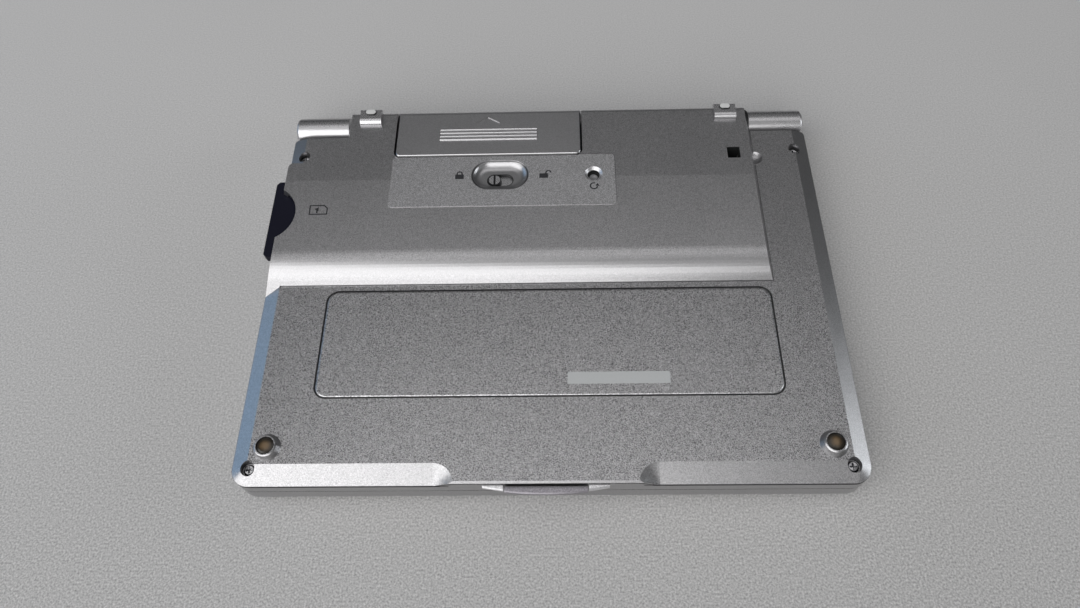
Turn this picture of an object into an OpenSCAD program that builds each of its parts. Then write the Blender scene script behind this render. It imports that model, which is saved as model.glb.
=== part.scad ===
/* [Case] */
// Width of the folded case
case_w = 145; // [138:0.5:160]
// Depth of the case from its front wall to the rear wall beside the hinge
case_d = 101.4; // [98:0.2:112]
// Radius of the front corners, seen from above
corner_r = 4.3; // [3.8:0.1:5.5]
// Wall of the two halves
wall = 1.2; // [1:0.05:1.4]

/* [Levels] */
// Height of the lid's rim above the table
lid_h = 6.8; // [6.8:0.05:7.4]
// Running gap between the two halves
halves_gap = 0.25; // [0.1:0.05:0.3]
// Height of the deck's side band
band_side_h = 2.9; // [2.9:0.05:3.4]
// Height of the chamfers round the underside
chamfer_h = 2; // [1.6:0.1:2.2]
// Width of the side chamfers
chamfer_w = 4; // [3.4:0.1:5]
// Width of the front chamfers
front_chamfer_w = 4.7; // [4:0.1:5.2]
// Distance from the middle of the lip to the inner end of each front chamfer
front_chamfer_x = 25.6; // [22:0.2:34]

/* [Housing] */
// Height of the card and battery housing above the flat underside
housing_h = 5.4; // [5.3:0.05:6]
// Distance from the foot of the housing's front slope to the case's rear wall
housing_l = 49.9; // [49:0.1:52]
// How far the housing's rear face stands behind the case's rear wall
housing_over = 3.9; // [3.7:0.05:4]
// Half width of the housing at its rear, measured on its top face
housing_x = 54.7; // [54.6:0.1:56]
// Radius of the curve at the top of the front slope
slope_r = 10; // [7:0.5:12]
// Steepness of the front slope at its foot, in degrees
slope_angle = 48; // [44:1:58]
// Rise of the housing's front part towards the rear, in degrees
incline = 2.6; // [1.5:0.1:3]
// Distance from the case's rear wall to the fold where the top becomes level
fold_y = 20.2; // [18:0.2:24]
// Distance from the case's rear wall to the rear of the housing's left arm
arm_y = 14.1; // [13.6:0.1:15]
// Wall of the housing
housing_wall = 1.3; // [1.2:0.05:1.4]

/* [Hinge] */
// Distance of the hinge axis behind the case's rear wall
hinge_back = 4.85; // [4.75:0.01:5]
// Distance of the hinge axis below the flat underside
hinge_drop = 4; // [3.9:0.05:4.1]
// Radius of the hinge barrels
barrel_r = 4.05; // [3.8:0.05:4.1]
// Room between each hinge barrel and the housing
barrel_gap = 2.5; // [2.4:0.1:4]
// Radius of the hinge shafts
shaft_r = 1.4; // [1.2:0.05:1.42]
// Running clearance between each shaft and its friction unit
shaft_gap = 0.05; // [0.02:0.01:0.08]

/* [Battery cover] */
// Width of the battery cover
door_w = 50.8; // [48:0.2:52]
// Middle of the battery cover, measured from the middle of the case
door_x = -16.1; // [-17:0.1:-14]
// Distance from the case's rear wall to the cover's front edge
door_y = 12.3; // [11.9:0.1:12.6]
// Thickness of the battery cover
door_t = 1.25; // [1.1:0.05:1.3]
// Number of grip ribs
rib_count = 4; // [3:1:5]
// Length of the grip ribs
rib_l = 26.6; // [20:0.2:34]

/* [Batteries] */
// Diameter of one cell
cell_d = 10.5; // [10.1:0.1:10.5]
// Length of one cell with its terminal
cell_l = 44.5; // [43.6:0.1:44.5]

/* [Memory card] */
// Length of the memory card
card_l = 32; // [30:0.5:32]
// Width of the memory card
card_w = 24; // [22:0.5:24]
// Thickness of the memory card
card_t = 2.1; // [1.8:0.1:2.1]
// How far the card sticks out of the case's side wall
card_out = 0.9; // [0.5:0.1:3]
// Distance from the case's rear wall to the card's middle
card_y = 30.3; // [29:0.1:31]

/* [Lock and reset] */
// Length of the dished recess round the lock knob
dish_l = 15.4; // [13:0.1:17]
// Width of the dished recess
dish_w = 9.8; // [9:0.1:10]
// Depth of the dished recess
dish_depth = 1.5; // [1:0.1:1.6]
// Middle of the recess, measured from the middle of the case
dish_x = -12.6; // [-14:0.1:-10]
// Distance from the case's rear wall to the recess and the reset button
dish_y = 18.9; // [18.5:0.1:20]
// Length of the slot that the knob slides in
lock_slot_l = 6.7; // [6:0.1:8]
// Diameter of the lock knob
knob_d = 3.5; // [3:0.1:3.6]
// Distance from the middle of the case to the reset button
reset_x = 12.4; // [10:0.1:15]
// Diameter of the reset button
reset_d = 2.2; // [2:0.1:2.6]

/* [Feet and plates] */
// Diameter of the front feet where they meet the case
foot_d = 6.3; // [5.6:0.1:7]
// Height of the front feet
foot_h = 1.6; // [1.2:0.1:2]
// Width of the rear feet
rear_foot_w = 5.9; // [5:0.1:7]
// Height of the rear feet above the housing
rear_foot_h = 1.6; // [1:0.1:2]
// Distance from the middle of the case to each rear foot
rear_foot_x = 49; // [46:0.1:50]
// Width of the inset label plate
label_w = 110.9; // [96:0.1:114]
// Depth of the inset label plate
label_d = 28.6; // [24:0.1:31]
// Width of the groove round the label plate
label_groove = 0.45; // [0.2:0.05:0.6]

/* [Screws] */
// Distance of the case screws from the side walls
screw_inset = 4.1; // [3.9:0.1:4.3]
// Distance of the front case screws from the front wall
screw_front = 3.9; // [3.9:0.1:4.4]
// Distance of the rear case screws from the rear wall
screw_rear = 7.3; // [6:0.1:8]
// Diameter of the screw heads
screw_d = 2.6; // [2.2:0.1:2.8]

/* [Keys] */
// Distance between the key rows
row_pitch = 9.3; // [9:0.05:9.5]
// Distance from the side walls to the field of ten letter keys
keys_side = 9.5; // [8.5:0.1:12]
// Room between two letter keys of one row
keys_gap = 2.4; // [2:0.1:4]
// Depth of a key
key_d = 6.4; // [5:0.1:7]
// How far the keys stand out of the deck
key_out = 1.6; // [1:0.1:1.8]
// Travel of a key
key_travel = 0.8; // [0.5:0.05:0.8]

/* [Display] */
// Width of the display window
window_w = 118; // [100:0.5:122]
// Depth of the display window
window_d = 74; // [60:0.5:76]

/* [Hidden] */
$fn = 48;

// Sides and ends of the case
half_w = case_w / 2;
front = -case_d / 2 + 0.1;
rear = front + case_d;
rear_r = 1;
eps = 0.01;

// Levels from the table up to the top of the housing
deck_z = lid_h + halves_gap;
seam_z = deck_z + band_side_h;
seam_gap = 0.35;
cover_z = seam_z + seam_gap;
rim_z = cover_z + 0.3;
flat_z = rim_z + chamfer_h;
top_z = flat_z + housing_h;

// Hinge axis and the round back of the base between the barrels
hinge_y = rear + hinge_back;
hinge_z = flat_z - hinge_drop;
hinge_band_z = deck_z - 2.75;
knuckle_r = hinge_z - hinge_band_z;
barrel_x = housing_x + barrel_gap;
barrel_l = half_w - barrel_x;
unit_r = barrel_r - 1.2;
unit_l = barrel_l - 3.4;
unit_x = barrel_x + 0.4;
holder_r = shaft_r + 1;
holder_l = 6.5;
holder_x = housing_x - 1.6 - holder_l;

// Housing profile: slope, inclined front part, level rear part
foot_y = rear - housing_l;
fold = rear - fold_y;
back_y = rear + housing_over;
back_r = 1.5;
slope_run = slope_r * (sin(slope_angle) - sin(incline));
slope_fall = slope_r * (cos(incline) - cos(slope_angle));
slope_top_y = (foot_y + slope_run + (housing_h - slope_fall - fold * tan(incline)) / tan(slope_angle))
    / (1 - tan(incline) / tan(slope_angle));
slope_top_z = top_z - (fold - slope_top_y) * tan(incline);
slope_cy = slope_top_y + slope_r * sin(incline);
slope_cz = slope_top_z - slope_r * cos(incline);
draft = 0.12;
arm_draft = 0.33;
side_draft = 0.36;
wall_foot = housing_x + housing_h * side_draft;

// Battery bay
bay_floor = hinge_band_z + 0.9;
cell_y = rear - 3.4;
cell_z = bay_floor + 0.15 + cell_d / 2;
bay_front = cell_y - 5.95;
bay_right = housing_x - 0.7;
cell_right_x = bay_right - 0.6 - cell_l;
cell_left_x = cell_right_x - cell_l;
bay_left = door_x - door_w / 2 - 0.6;
bay_wall_top = top_z - 2.3;
door_front = rear - door_y;
door_gap = 0.28;
door_low = hinge_z + knuckle_r + 0.1;
rib_pitch = 1.15;

// Raised and sunk plates on the underside
panel_sink = 0.25;
panel_z = top_z - panel_sink;
panel_x0 = door_x - door_w / 2 - 0.4;
panel_x1 = reset_x + 5.8;
panel_front = rear - dish_y - 10.2;
label_y = foot_y - 1.45 - label_groove - label_d / 2;
label_t = 0.5;

// Lock, reset and strap
dish_rim = 0.55;
dish_bowl_r = (dish_depth - 0.3) / (1 - cos(55));
dish_floor = panel_z - dish_depth;
dish_mid = rear - dish_y;
lock_y = dish_mid - 0.8;
lock_skin = 0.8;
lock_travel = lock_slot_l - knob_d - 0.2;
knob_x = dish_x - lock_slot_l / 2 + 0.1 + knob_d / 2;
reset_seat = panel_z - 3.1;
reset_y = dish_mid - 0.1;
strap_x = housing_x - 4.6;
strap_y = rear - 12.75;
strap_hole = [3.4, 3.7];

// Memory card and its socket
card_x = -half_w - card_out;
card_mid = rear - card_y;
card_z = flat_z + 0.4;
socket_wall = 0.3;
socket_x0 = card_x + 8;
socket_x1 = card_x + card_l + 1;

// Screws, feet and boards
screw_x = half_w - screw_inset;
screw_spots = [[-screw_x, front + screw_front], [screw_x, front + screw_front],
    [-screw_x, rear - screw_rear], [screw_x, rear - screw_rear]];
screw_seat = flat_z - 2.7;
front_foot_x = half_w - 8;
front_foot_y = front + 8.6;
board_z = flat_z - 0.7;
board_t = 0.8;
speaker_x = half_w - 14.5;
speaker_y = 29.4;
speaker_r = 6.5;

// Keys: one row is a list of middle places and a width
flange_t = 0.35;
key_gap = 0.2;
key_pitch = (case_w - 2 * keys_side) / 10;
key_w = key_pitch - keys_gap;
dome_h = 0.3;
sheet_z = deck_z + wall + 0.15 + flange_t + key_travel + dome_h;
key_board_z = sheet_z + 0.55;
letter_row = [for (i = [0 : 9]) (i - 4.5) * key_pitch];
short_row = [for (i = [0 : 7]) (4.5 - i) * key_pitch];
index_row = [for (i = [0 : 7]) (i - 3.5) * (key_pitch + 3.2)];
function_row = [for (i = [0 : 5]) (i - 2.5) * (key_pitch + 3.4)];
space_row = [for (i = [0 : 4]) (4.2 - i * 1.48) * key_pitch];
wide_key = key_w + 2.6;
space_key = key_w + 5.2;
power_x = -4.75 * key_pitch;
cursor_x = -4.17 * key_pitch;
cursor_y = -3 * row_pitch;
cursor_r = 10.2;
enter_r = 4;

// Lid
lid_floor = 1.2;
lid_edge_r = 3.4;
lid_rear = hinge_y + 2.3;
lid_wall = 1.8;
bezel_z = hinge_band_z - 0.4;
bezel_t = 1.1;
bezel_rear = rear - 1.3;
border_w = 3.6;
border_z = lid_h - 0.7;
border_rear = rear - 13.5;
window_t = 0.8;
window_y = -6;
glass_w = window_w + 1;
glass_d = window_d + 1;
lid_spots = [for (x = [-1, 1], y = [front + lid_wall + 2, border_rear - 2])
    [x * (half_w - lid_wall - 2), y]];

// Lip: lens-shaped ledge at the middle of the front edge, two wings on the deck and a tab on the lid
lip_x = -0.5;
lip_half = 14.3;
lip_out = 1.95;
lip_r = 80;
lip_split = 9.6;
lip_t = 1;
wing_z = flat_z - 1.1;
tab_z = wing_z - lip_t;
lip_gap = 0.2;
mid_half = front_chamfer_x - front_chamfer_w;
mid_rim = 0.6;

plastic = "silver";
steel = "lightsteelblue";
dark = "dimgray";

// Points of an arc from angle a0 to a1
function arc(cx, cy, r, a0, a1, n = 8) =
    [for (i = [0 : n]) let (a = a0 + (a1 - a0) * i / n) [cx + r * cos(a), cy + r * sin(a)]];

// Extrudes a profile of y and z along x
module along_x(x0, x1) {
    translate([x0, 0, 0]) rotate([90, 0, 90]) linear_extrude(x1 - x0) children();
}

// Extrudes a profile of x and z along y
module along_y(y0, y1) {
    translate([0, y1, 0]) rotate([90, 0, 0]) linear_extrude(y1 - y0) children();
}

// Box between two corners
module block(a, b) {
    translate(a) cube(b - a);
}

// Rounded rectangle with true arcs
module rounded(w, d, r) {
    square([w - 2 * r, d], center = true);
    square([w, d - 2 * r], center = true);
    for (x = [-1, 1], y = [-1, 1])
        translate([x * (w / 2 - r), y * (d / 2 - r)]) circle(r);
}

// Slot shape with round ends along x
module stadium(l, w) {
    square([l - w, w], center = true);
    for (x = [-1, 1]) translate([x * (l - w) / 2, 0]) circle(w / 2);
}

// Outline of the case drawn in by i
module outline(i = 0) {
    w = half_w - i;
    r = corner_r - i;
    translate([-w, front + i + r]) square([2 * w, case_d - 2 * i - r - rear_r]);
    translate([-w + r, front + i]) square([2 * (w - r), r + eps]);
    translate([-w + rear_r, rear - i - rear_r - eps]) square([2 * (w - rear_r), rear_r + eps]);
    for (s = [-1, 1]) {
        translate([s * (w - r), front + i + r]) circle(r);
        translate([s * (w - rear_r), rear - i - rear_r]) circle(rear_r);
    }
}

// Profile across the tray with its side chamfers, drawn in by i
module tray_section(i = 0) {
    w = half_w - i;
    edge = rim_z + i * chamfer_h / chamfer_w - i * 1.1;
    crown = flat_z - i;
    flat_w = half_w - chamfer_w;
    polygon([[-w, cover_z - 3], [w, cover_z - 3], [w, edge], [flat_w, crown], [-flat_w, crown], [-w, edge]]);
}

// Wedges that cut the two front chamfers and end in a quarter cone
module front_chamfers(i = 0) {
    z0 = rim_z - i * 1.1;
    slope = chamfer_h / front_chamfer_w;
    reach = front_chamfer_w * 1.5;
    translate([lip_x, 0, 0]) for (s = [0, 1]) mirror([s, 0, 0]) {
        along_x(front_chamfer_x, half_w + 2)
            polygon([[front - 1, z0 - slope], [front - 1, z0 + 5], [front + reach, z0 + 5],
                [front + reach, z0 + reach * slope]]);
        translate([front_chamfer_x, front, z0])
            cylinder(h = reach * slope, r1 = 0, r2 = reach);
    }
}

// Cone that carries the side chamfer round each front corner
module corner_cones() {
    slope = chamfer_h / chamfer_w;
    for (s = [0, 1]) mirror([s, 0, 0]) translate([-half_w + corner_r, front + corner_r, rim_z - 1]) difference() {
        translate([-corner_r - 1, -corner_r - 1, 0]) cube([corner_r + 1, corner_r + 1, chamfer_h + 2]);
        cylinder(h = corner_r * slope + 1, r1 = corner_r + 1 / slope, r2 = 0);
    }
}

// Low tray of the underside, drawn in by i
module tray(i = 0) {
    difference() {
        intersection() {
            translate([0, 0, cover_z - 2]) linear_extrude(flat_z - cover_z + 2 - i) outline(i);
            along_y(front, rear) tray_section(i);
        }
        front_chamfers(i);
    }
}

// Outside of the tray with its round corners, its sloping rear edge and its broken front edge
module tray_outside() {
    difference() {
        tray();
        corner_cones();
        along_x(-half_w - 1, half_w + 1)
            polygon([[rear - 0.7, flat_z + 1], [rear - 0.7, flat_z], [rear, rim_z], [rear + 1, rim_z - 1],
                [rear + 1, flat_z + 1]]);
        along_x(lip_x - front_chamfer_x, lip_x + front_chamfer_x)
            polygon([[front - 1, flat_z - 1.47], [front + 0.87, flat_z + 0.4], [front - 1, flat_z + 1]]);
    }
}

// Front wall under the middle of the front edge as x and z, its top following the inner chamfer ends
module mid_front(low, drop, in) {
    polygon([[lip_x - front_chamfer_x + in, low], [lip_x - front_chamfer_x + in, cover_z - drop],
        [lip_x - mid_half + in / 2, flat_z - mid_rim - drop], [lip_x + mid_half - in / 2, flat_z - mid_rim - drop],
        [lip_x + front_chamfer_x - in, cover_z - drop], [lip_x + front_chamfer_x - in, low]]);
}

// Side profile of the housing, drawn in by i
module housing_profile(i = 0) {
    r = slope_r - i;
    low_y = slope_cy - r * sin(slope_angle);
    low_z = slope_cz + r * cos(slope_angle);
    level = top_z - i;
    start_y = slope_cy - r * sin(incline);
    start_z = slope_cz + r * cos(incline);
    turn_y = start_y + (level - start_z) / tan(incline);
    b = back_y - i;
    br = max(back_r - i, 0.2);
    base = cover_z - 2;
    polygon(concat(
        [[low_y - (low_z - base) / tan(slope_angle), base]],
        arc(slope_cy, slope_cz, r, 90 + slope_angle, 90 + incline, 10),
        [[turn_y, level]],
        arc(b - br, level - br, br, 90, 0, 5),
        [[b, base]]
    ));
}

// Plan of the housing as two tapered bodies: full depth in the middle, a shorter arm on the left
module housing(i = 0) {
    base = cover_z - 2;
    foot_x = housing_x + (top_z - base) * draft;
    arm_x = half_w - 2.45;
    arm_foot = arm_x + (top_z - rim_z) * arm_draft;
    intersection() {
        along_x(-half_w, half_w) housing_profile(i);
        union() {
            along_y(foot_y - 4, back_y + 1)
                polygon([[-foot_x + i, base], [foot_x - i, base], [housing_x - i, top_z], [-housing_x + i, top_z]]);
            along_y(foot_y - 4, rear - arm_y - i)
                polygon([[-arm_foot + i, base], [0, base], [0, top_z], [-arm_x + i, top_z],
                    [-arm_foot + i, rim_z]]);
        }
    }
}

// Sloping side walls of the housing where it stands on the flat
module housing_sides() {
    intersection() {
        along_x(-half_w, half_w) housing_profile();
        along_y(foot_y - 4, rear - 0.8)
            polygon([[-wall_foot, cover_z - 2], [wall_foot, cover_z - 2], [wall_foot, flat_z], [housing_x, top_z],
                [-housing_x, top_z], [-wall_foot, flat_z]]);
    }
}

// Cutter that rounds an upright edge by r, its corner pointing to -x and +y
module edge_cutter(r) {
    translate([0, 0, -14]) linear_extrude(16) difference() {
        translate([-1, -r]) square([r + 1, r + 1]);
        translate([r, -r]) circle(r + 0.005);
    }
}

// Cutters for the upright rear edges of the housing and of its arm
module housing_edges() {
    for (s = [0, 1]) mirror([s, 0, 0])
        translate([-housing_x, back_y, top_z]) rotate([0, atan(draft), 0]) edge_cutter(1.2);
    translate([-half_w + 2.45, rear - arm_y, top_z]) rotate([0, atan(arm_draft), 0]) edge_cutter(1.3);
}

// Round back of the base round the hinge axis
module knuckle(r) {
    along_x(-housing_x, housing_x) translate([hinge_y, hinge_z]) circle(r);
}

// Outline of the battery cover with rounded front corners, grown by g
module door_outline(g = 0) {
    x0 = door_x - door_w / 2 - g;
    w = door_w + 2 * g;
    r = 1.5 + g;
    translate([x0 + r, door_front - g]) square([w - 2 * r, 30]);
    translate([x0, door_front - g + r]) square([w, 30 - r]);
    for (x = [x0 + r, x0 + w - r]) translate([x, door_front - g + r]) circle(r);
}

// Ribs of the battery bay: front wall with a window for the cover, and the left end wall
module bay_walls() {
    difference() {
        block([bay_left - 0.9, bay_front - 0.9, bay_floor + 0.1], [housing_x - 0.6, bay_front, top_z - 1]);
        block([bay_left + 0.5, bay_front - 2, bay_wall_top], [door_x + door_w / 2 + 0.8, bay_front + 1, top_z + 1]);
    }
    block([bay_left - 0.9, bay_front - 0.5, bay_floor + 0.1], [bay_left, back_y - 1.5, bay_wall_top]);
}

// Holes for the hinge shafts and seats for their sleeves
module hinge_holes() {
    for (s = [0, 1]) mirror([s, 0, 0]) translate([holder_x, hinge_y, hinge_z]) rotate([0, 90, 0]) {
        cylinder(h = 20, r = shaft_r + shaft_gap);
        translate([0, 0, -0.1]) cylinder(h = holder_l + 0.2, r = holder_r + 0.02);
    }
}

// Half profile of the dished recess: bevelled rim, steep side and flat floor
module dish_half() {
    r = dish_w / 2 - dish_rim;
    polygon(concat([[0, panel_z + 1], [0, dish_floor]],
        arc(r - dish_bowl_r * sin(55), dish_floor + dish_bowl_r, dish_bowl_r, -90, -35, 8),
        [[dish_w / 2, panel_z], [dish_w / 2, panel_z + 1]]));
}

// Hollow underside shell before its openings are cut
module cover_shell() {
    difference() {
        union() {
            tray_outside();
            difference() {
                housing();
                housing_edges();
            }
            housing_sides();
            knuckle(knuckle_r);
            translate([(panel_x0 + panel_x1) / 2, (panel_front + door_front) / 2, panel_z - 1.3])
                linear_extrude(1.3)
                    rounded(panel_x1 - panel_x0, door_front - panel_front, 1.2);
        }
        tray(wall);
        housing(housing_wall);
        translate([0, 0, -50]) linear_extrude(50 + cover_z) square(400, center = true);
    }
}

// Moulded underside: tray, housing, bosses, battery bay and every opening
module bottom_cover() {
    color(plastic) difference() {
        union() {
            cover_shell();
            intersection() {
                bay_walls();
                union() {
                    intersection() {
                        housing();
                        block([-half_w, front, cover_z + 0.5], [half_w, back_y + 1, top_z]);
                    }
                    block([-housing_x, front, cover_z], [housing_x, back_y - 0.5, flat_z]);
                    block([-housing_x, front, 0], [housing_x, rear - wall - 0.1, cover_z + 1]);
                }
            }
            // Dish floor, reset tube and strap tunnel stand inside the housing
            translate([dish_x, dish_mid, dish_floor - lock_skin])
                linear_extrude(dish_depth + lock_skin) stadium(dish_l + 1.2, dish_w + 1.2);
            translate([reset_x, reset_y, reset_seat]) cylinder(h = panel_z - reset_seat, r = 3.4);
            block([strap_x - 2.9, strap_y - 2.9, flat_z - wall], [housing_x, strap_y + 2.4, top_z - 1]);
            translate([wall_foot + 0.4, strap_y + 2.4, flat_z - wall - 0.8]) cylinder(h = 1.2, r = 3);
            // Screw bosses
            intersection() {
                for (p = screw_spots) translate([p[0], p[1], cover_z - 1]) cylinder(h = 5, r = 2.5);
                union() {
                    tray_outside();
                    block([-half_w + 1, front + 1, cover_z - 1], [half_w - 1, rear - 1, cover_z + 0.5]);
                }
            }
            // Front feet
            for (s = [-1, 1]) translate([s * front_foot_x, front_foot_y, flat_z - 0.2])
                rotate_extrude() polygon([[0, 0], [foot_d / 2 + 0.2, 0], [foot_d / 2, 0.35],
                    [foot_d / 2 - 0.55, foot_h], [foot_d / 2 - 0.85, foot_h + 0.2], [0, foot_h + 0.2]]);
        }
        // Level panel sunk behind the battery cover's front edge
        translate([(panel_x0 + panel_x1) / 2, (panel_front + door_front) / 2, panel_z])
            linear_extrude(2) rounded(panel_x1 - panel_x0, door_front - panel_front, 1.2);
        // Battery cover opening
        difference() {
            translate([0, 0, door_low - 0.1]) linear_extrude(20) door_outline(door_gap);
            block([-half_w, front, 0], [half_w, bay_front, bay_wall_top - 2]);
        }
        // Room for the cells
        translate([bay_left, cell_y, cell_z]) rotate([0, 90, 0])
            cylinder(h = bay_right - bay_left, r = cell_d / 2 + 0.25);
        hinge_holes();
        // Dished recess and knob slot
        translate([dish_x, dish_mid, 0]) {
            for (s = [-1, 1]) translate([s * (dish_l - dish_w) / 2, 0, 0]) rotate_extrude() dish_half();
            rotate([90, 0, 90]) linear_extrude(dish_l - dish_w, center = true) for (s = [0, 1]) mirror([s, 0]) dish_half();
        }
        translate([dish_x, lock_y, dish_floor - 2]) linear_extrude(4) stadium(lock_slot_l, knob_d + 0.2);
        // Reset hole with its countersink
        translate([reset_x, reset_y, reset_seat - 1]) cylinder(h = 6, r = reset_d / 2 + 0.15);
        translate([reset_x, reset_y, panel_z - 1.5]) cylinder(h = 2, r = reset_d / 2 + 0.5);
        translate([reset_x, reset_y, panel_z - 0.7]) cylinder(h = 0.71, r1 = reset_d / 2 + 0.6, r2 = reset_d / 2 + 1.3);
        // Strap hole, its tunnel through the side wall and the scoop in the flat
        translate([strap_x, strap_y, flat_z]) linear_extrude(housing_h + 1) square(strap_hole, center = true);
        block([strap_x - strap_hole[0] / 2, strap_y - strap_hole[1] / 2, flat_z],
            [housing_x + 3, strap_y + strap_hole[1] / 2, flat_z + 2.6]);
        intersection() {
            translate([wall_foot + 0.4, strap_y + 2.4, flat_z + 2.05]) sphere(2.95);
            block([housing_x + 0.9, strap_y - 2, flat_z - 1], [wall_foot + 5, strap_y + 7, flat_z + 1.6]);
        }
        // Card slot and finger scoop in the left wall
        block([-half_w - 1, card_mid - card_w / 2 - 0.25, card_z - 0.1],
            [-half_w + 8, card_mid + card_w / 2 + 0.25, card_z + card_t + 0.15]);
        translate([-half_w - 2, card_mid, card_z + card_t - 0.3]) cylinder(h = 6, r = 8.5);
        // Screw recesses and shank holes
        for (p = screw_spots) translate([p[0], p[1], 0]) {
            translate([0, 0, screw_seat]) cylinder(h = 8, r = screw_d / 2 + 0.4);
            translate([0, 0, screw_seat - 3]) cylinder(h = 6, r = 0.8);
        }
        // Pockets of the front feet
        for (s = [-1, 1]) translate([s * front_foot_x, front_foot_y, flat_z + foot_h - 0.7])
            cylinder(h = 2, r = foot_d / 2 - 1.05);
        // Recess of the label plate
        translate([0, label_y, flat_z - label_t - 0.05])
            linear_extrude(2) rounded(label_w + 2 * label_groove, label_d + 2 * label_groove, 3.2);
        // Shadow groove at the foot of the slope
        along_x(-half_w + chamfer_w, wall_foot + 0.35)
            polygon([[foot_y - 0.35, flat_z + 0.3], [foot_y - 0.2, flat_z - 0.35], [foot_y + 0.15, flat_z - 0.35],
                [foot_y + 0.2, flat_z + 0.3]]);
        // Shadow groove at the foot of the right side wall
        along_y(foot_y, rear + 1)
            polygon([[wall_foot - 0.1, flat_z + 0.2], [wall_foot - 0.05, flat_z - 0.4], [wall_foot + 0.3, flat_z - 0.4],
                [wall_foot + 0.35, flat_z + 0.2]]);
        // Room for the deck's raised front wall
        along_y(front - 1, front + wall + 0.15) mid_front(cover_z - 2, 0, 0);
    }
}

// Cap of one key between the deck's outer side and its flange inside
module key(w, d = key_d, out = key_out) {
    tip = deck_z - out;
    base = deck_z + wall + 0.05;
    intersection() {
        translate([0, 0, tip]) linear_extrude(base - tip + flange_t) rounded(w, d, 1.4);
        along_y(-d, d) polygon([[-w / 2, base + 1], [-w / 2, tip + 0.5], [-w / 2 + 0.7, tip],
            [w / 2 - 0.7, tip], [w / 2, tip + 0.5], [w / 2, base + 1]]);
        along_x(-w, w) polygon([[-d / 2, base + 1], [-d / 2, tip + 0.7], [-d / 2 + 0.5, tip],
            [d / 2 - 0.5, tip], [d / 2, tip + 0.7], [d / 2, base + 1]]);
    }
    translate([0, 0, base]) linear_extrude(flange_t) square([w + 0.9, d + 0.7], center = true);
}

// One row of keys
module key_row(spots, w, row, out = key_out) {
    color("gainsboro") for (x = spots) translate([x, row * row_pitch, 0]) key(w, out = out);
}

// Openings of one row of keys in the deck
module key_openings(spots, w, row) {
    for (x = spots) translate([x, row * row_pitch]) rounded(w + 2 * key_gap, key_d + 2 * key_gap, 1.6);
}

// All key openings in plan
module all_key_openings() {
    key_openings(function_row, wide_key, 3);
    key_openings([power_x], key_w, 3);
    key_openings(index_row, wide_key, 2);
    key_openings(letter_row, key_w, 1);
    key_openings(letter_row, key_w, 0);
    key_openings(letter_row, key_w, -1);
    key_openings(short_row, key_w, -2);
    key_openings(short_row, key_w, -3);
    key_openings(space_row, space_key, -4);
    translate([cursor_x, cursor_y]) circle(cursor_r + key_gap);
}

// Lens-shaped ledge of the front lip between two x, with a broken edge, ending at y1
module lip_ledge(x0, x1, y1) {
    b = 0.3;
    intersection() {
        translate([0, front - lip_out + lip_r, 0]) {
            cylinder(h = lip_t - b, r = lip_r, $fn = 240);
            translate([0, 0, lip_t - b - eps]) cylinder(h = b + eps, r1 = lip_r, r2 = lip_r - b, $fn = 240);
        }
        block([x0, front - lip_out - 1, -1], [x1, y1, lip_t + 1]);
    }
}

// Recess of the lid's tab in the deck's front wall
module lip_room() {
    block([lip_x - lip_split, front - 5, deck_z - 1], [lip_x + lip_split, front + 0.4, flat_z]);
}

// Upper case of the keyboard half: side band, deck, hinge band and the lip's wings
module keyboard_deck() {
    side_x = half_w - 3.2;
    band_y = rear - 12.5;
    color(plastic) difference() {
        union() {
            translate([0, 0, deck_z]) linear_extrude(band_side_h) outline();
            // Hinge band hangs below the deck into the lid
            translate([-side_x, band_y, hinge_band_z]) cube([2 * side_x, rear - band_y, 4]);
            block([-housing_x, band_y, hinge_band_z], [housing_x, back_y, seam_z]);
            knuckle(knuckle_r);
        }
        translate([0, 0, seam_z]) linear_extrude(20) square(2 * case_w, center = true);
        // Hollow of the deck and of the hinge band
        translate([0, 0, deck_z + wall]) linear_extrude(10) outline(wall);
        block([-side_x + wall, band_y + wall, bay_floor], [side_x - wall, rear - wall, seam_z + 1]);
        translate([-bay_right, cell_y, cell_z]) rotate([0, 90, 0])
            cylinder(h = 2 * bay_right, r = cell_d / 2 + 0.25);
        // Keys, speaker slots and the seat of the lid's tab
        translate([0, 0, deck_z - 1]) linear_extrude(4) all_key_openings();
        for (i = [-2 : 2]) translate([speaker_x, speaker_y + i * 1.9, deck_z - 1])
            linear_extrude(4) stadium(10 - abs(i) * 1.8, 0.8);
        lip_room();
        hinge_holes();
    }
    // Tongue behind the seam, raised front wall and the lip's wings
    color(plastic) difference() {
        union() {
            intersection() {
                translate([0, 0, seam_z - 0.5]) linear_extrude(cover_z - 0.05 - seam_z + 0.5) difference() {
                    outline(0.6);
                    outline(wall);
                }
                block([-half_w, front, 0], [half_w, band_y - 1, top_z]);
            }
            along_y(front, front + wall) mid_front(seam_z - 0.5, 0.45, 0.3);
            along_y(front + 0.6, front + wall) mid_front(seam_z - 0.5, 0.1, 0.3);
            for (s = [0, 1]) translate([lip_x, 0, wing_z - lip_t]) mirror([s, 0, 0])
                lip_ledge(lip_split, lip_half, front + 0.1);
        }
        lip_room();
    }
    // Screw posts and the ring round the speaker
    color(plastic) for (p = screw_spots) translate([p[0], p[1], deck_z + wall - eps]) difference() {
        cylinder(h = cover_z - 1.15 - deck_z - wall, r = 2.3);
        translate([0, 0, -1]) cylinder(h = 6, r = 0.75);
    }
}

// Bare plate inset in the underside
module label_plate() {
    color("lightgray") translate([0, label_y, flat_z - label_t])
        linear_extrude(label_t - 0.05) rounded(label_w, label_d, 2.8);
}

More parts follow.
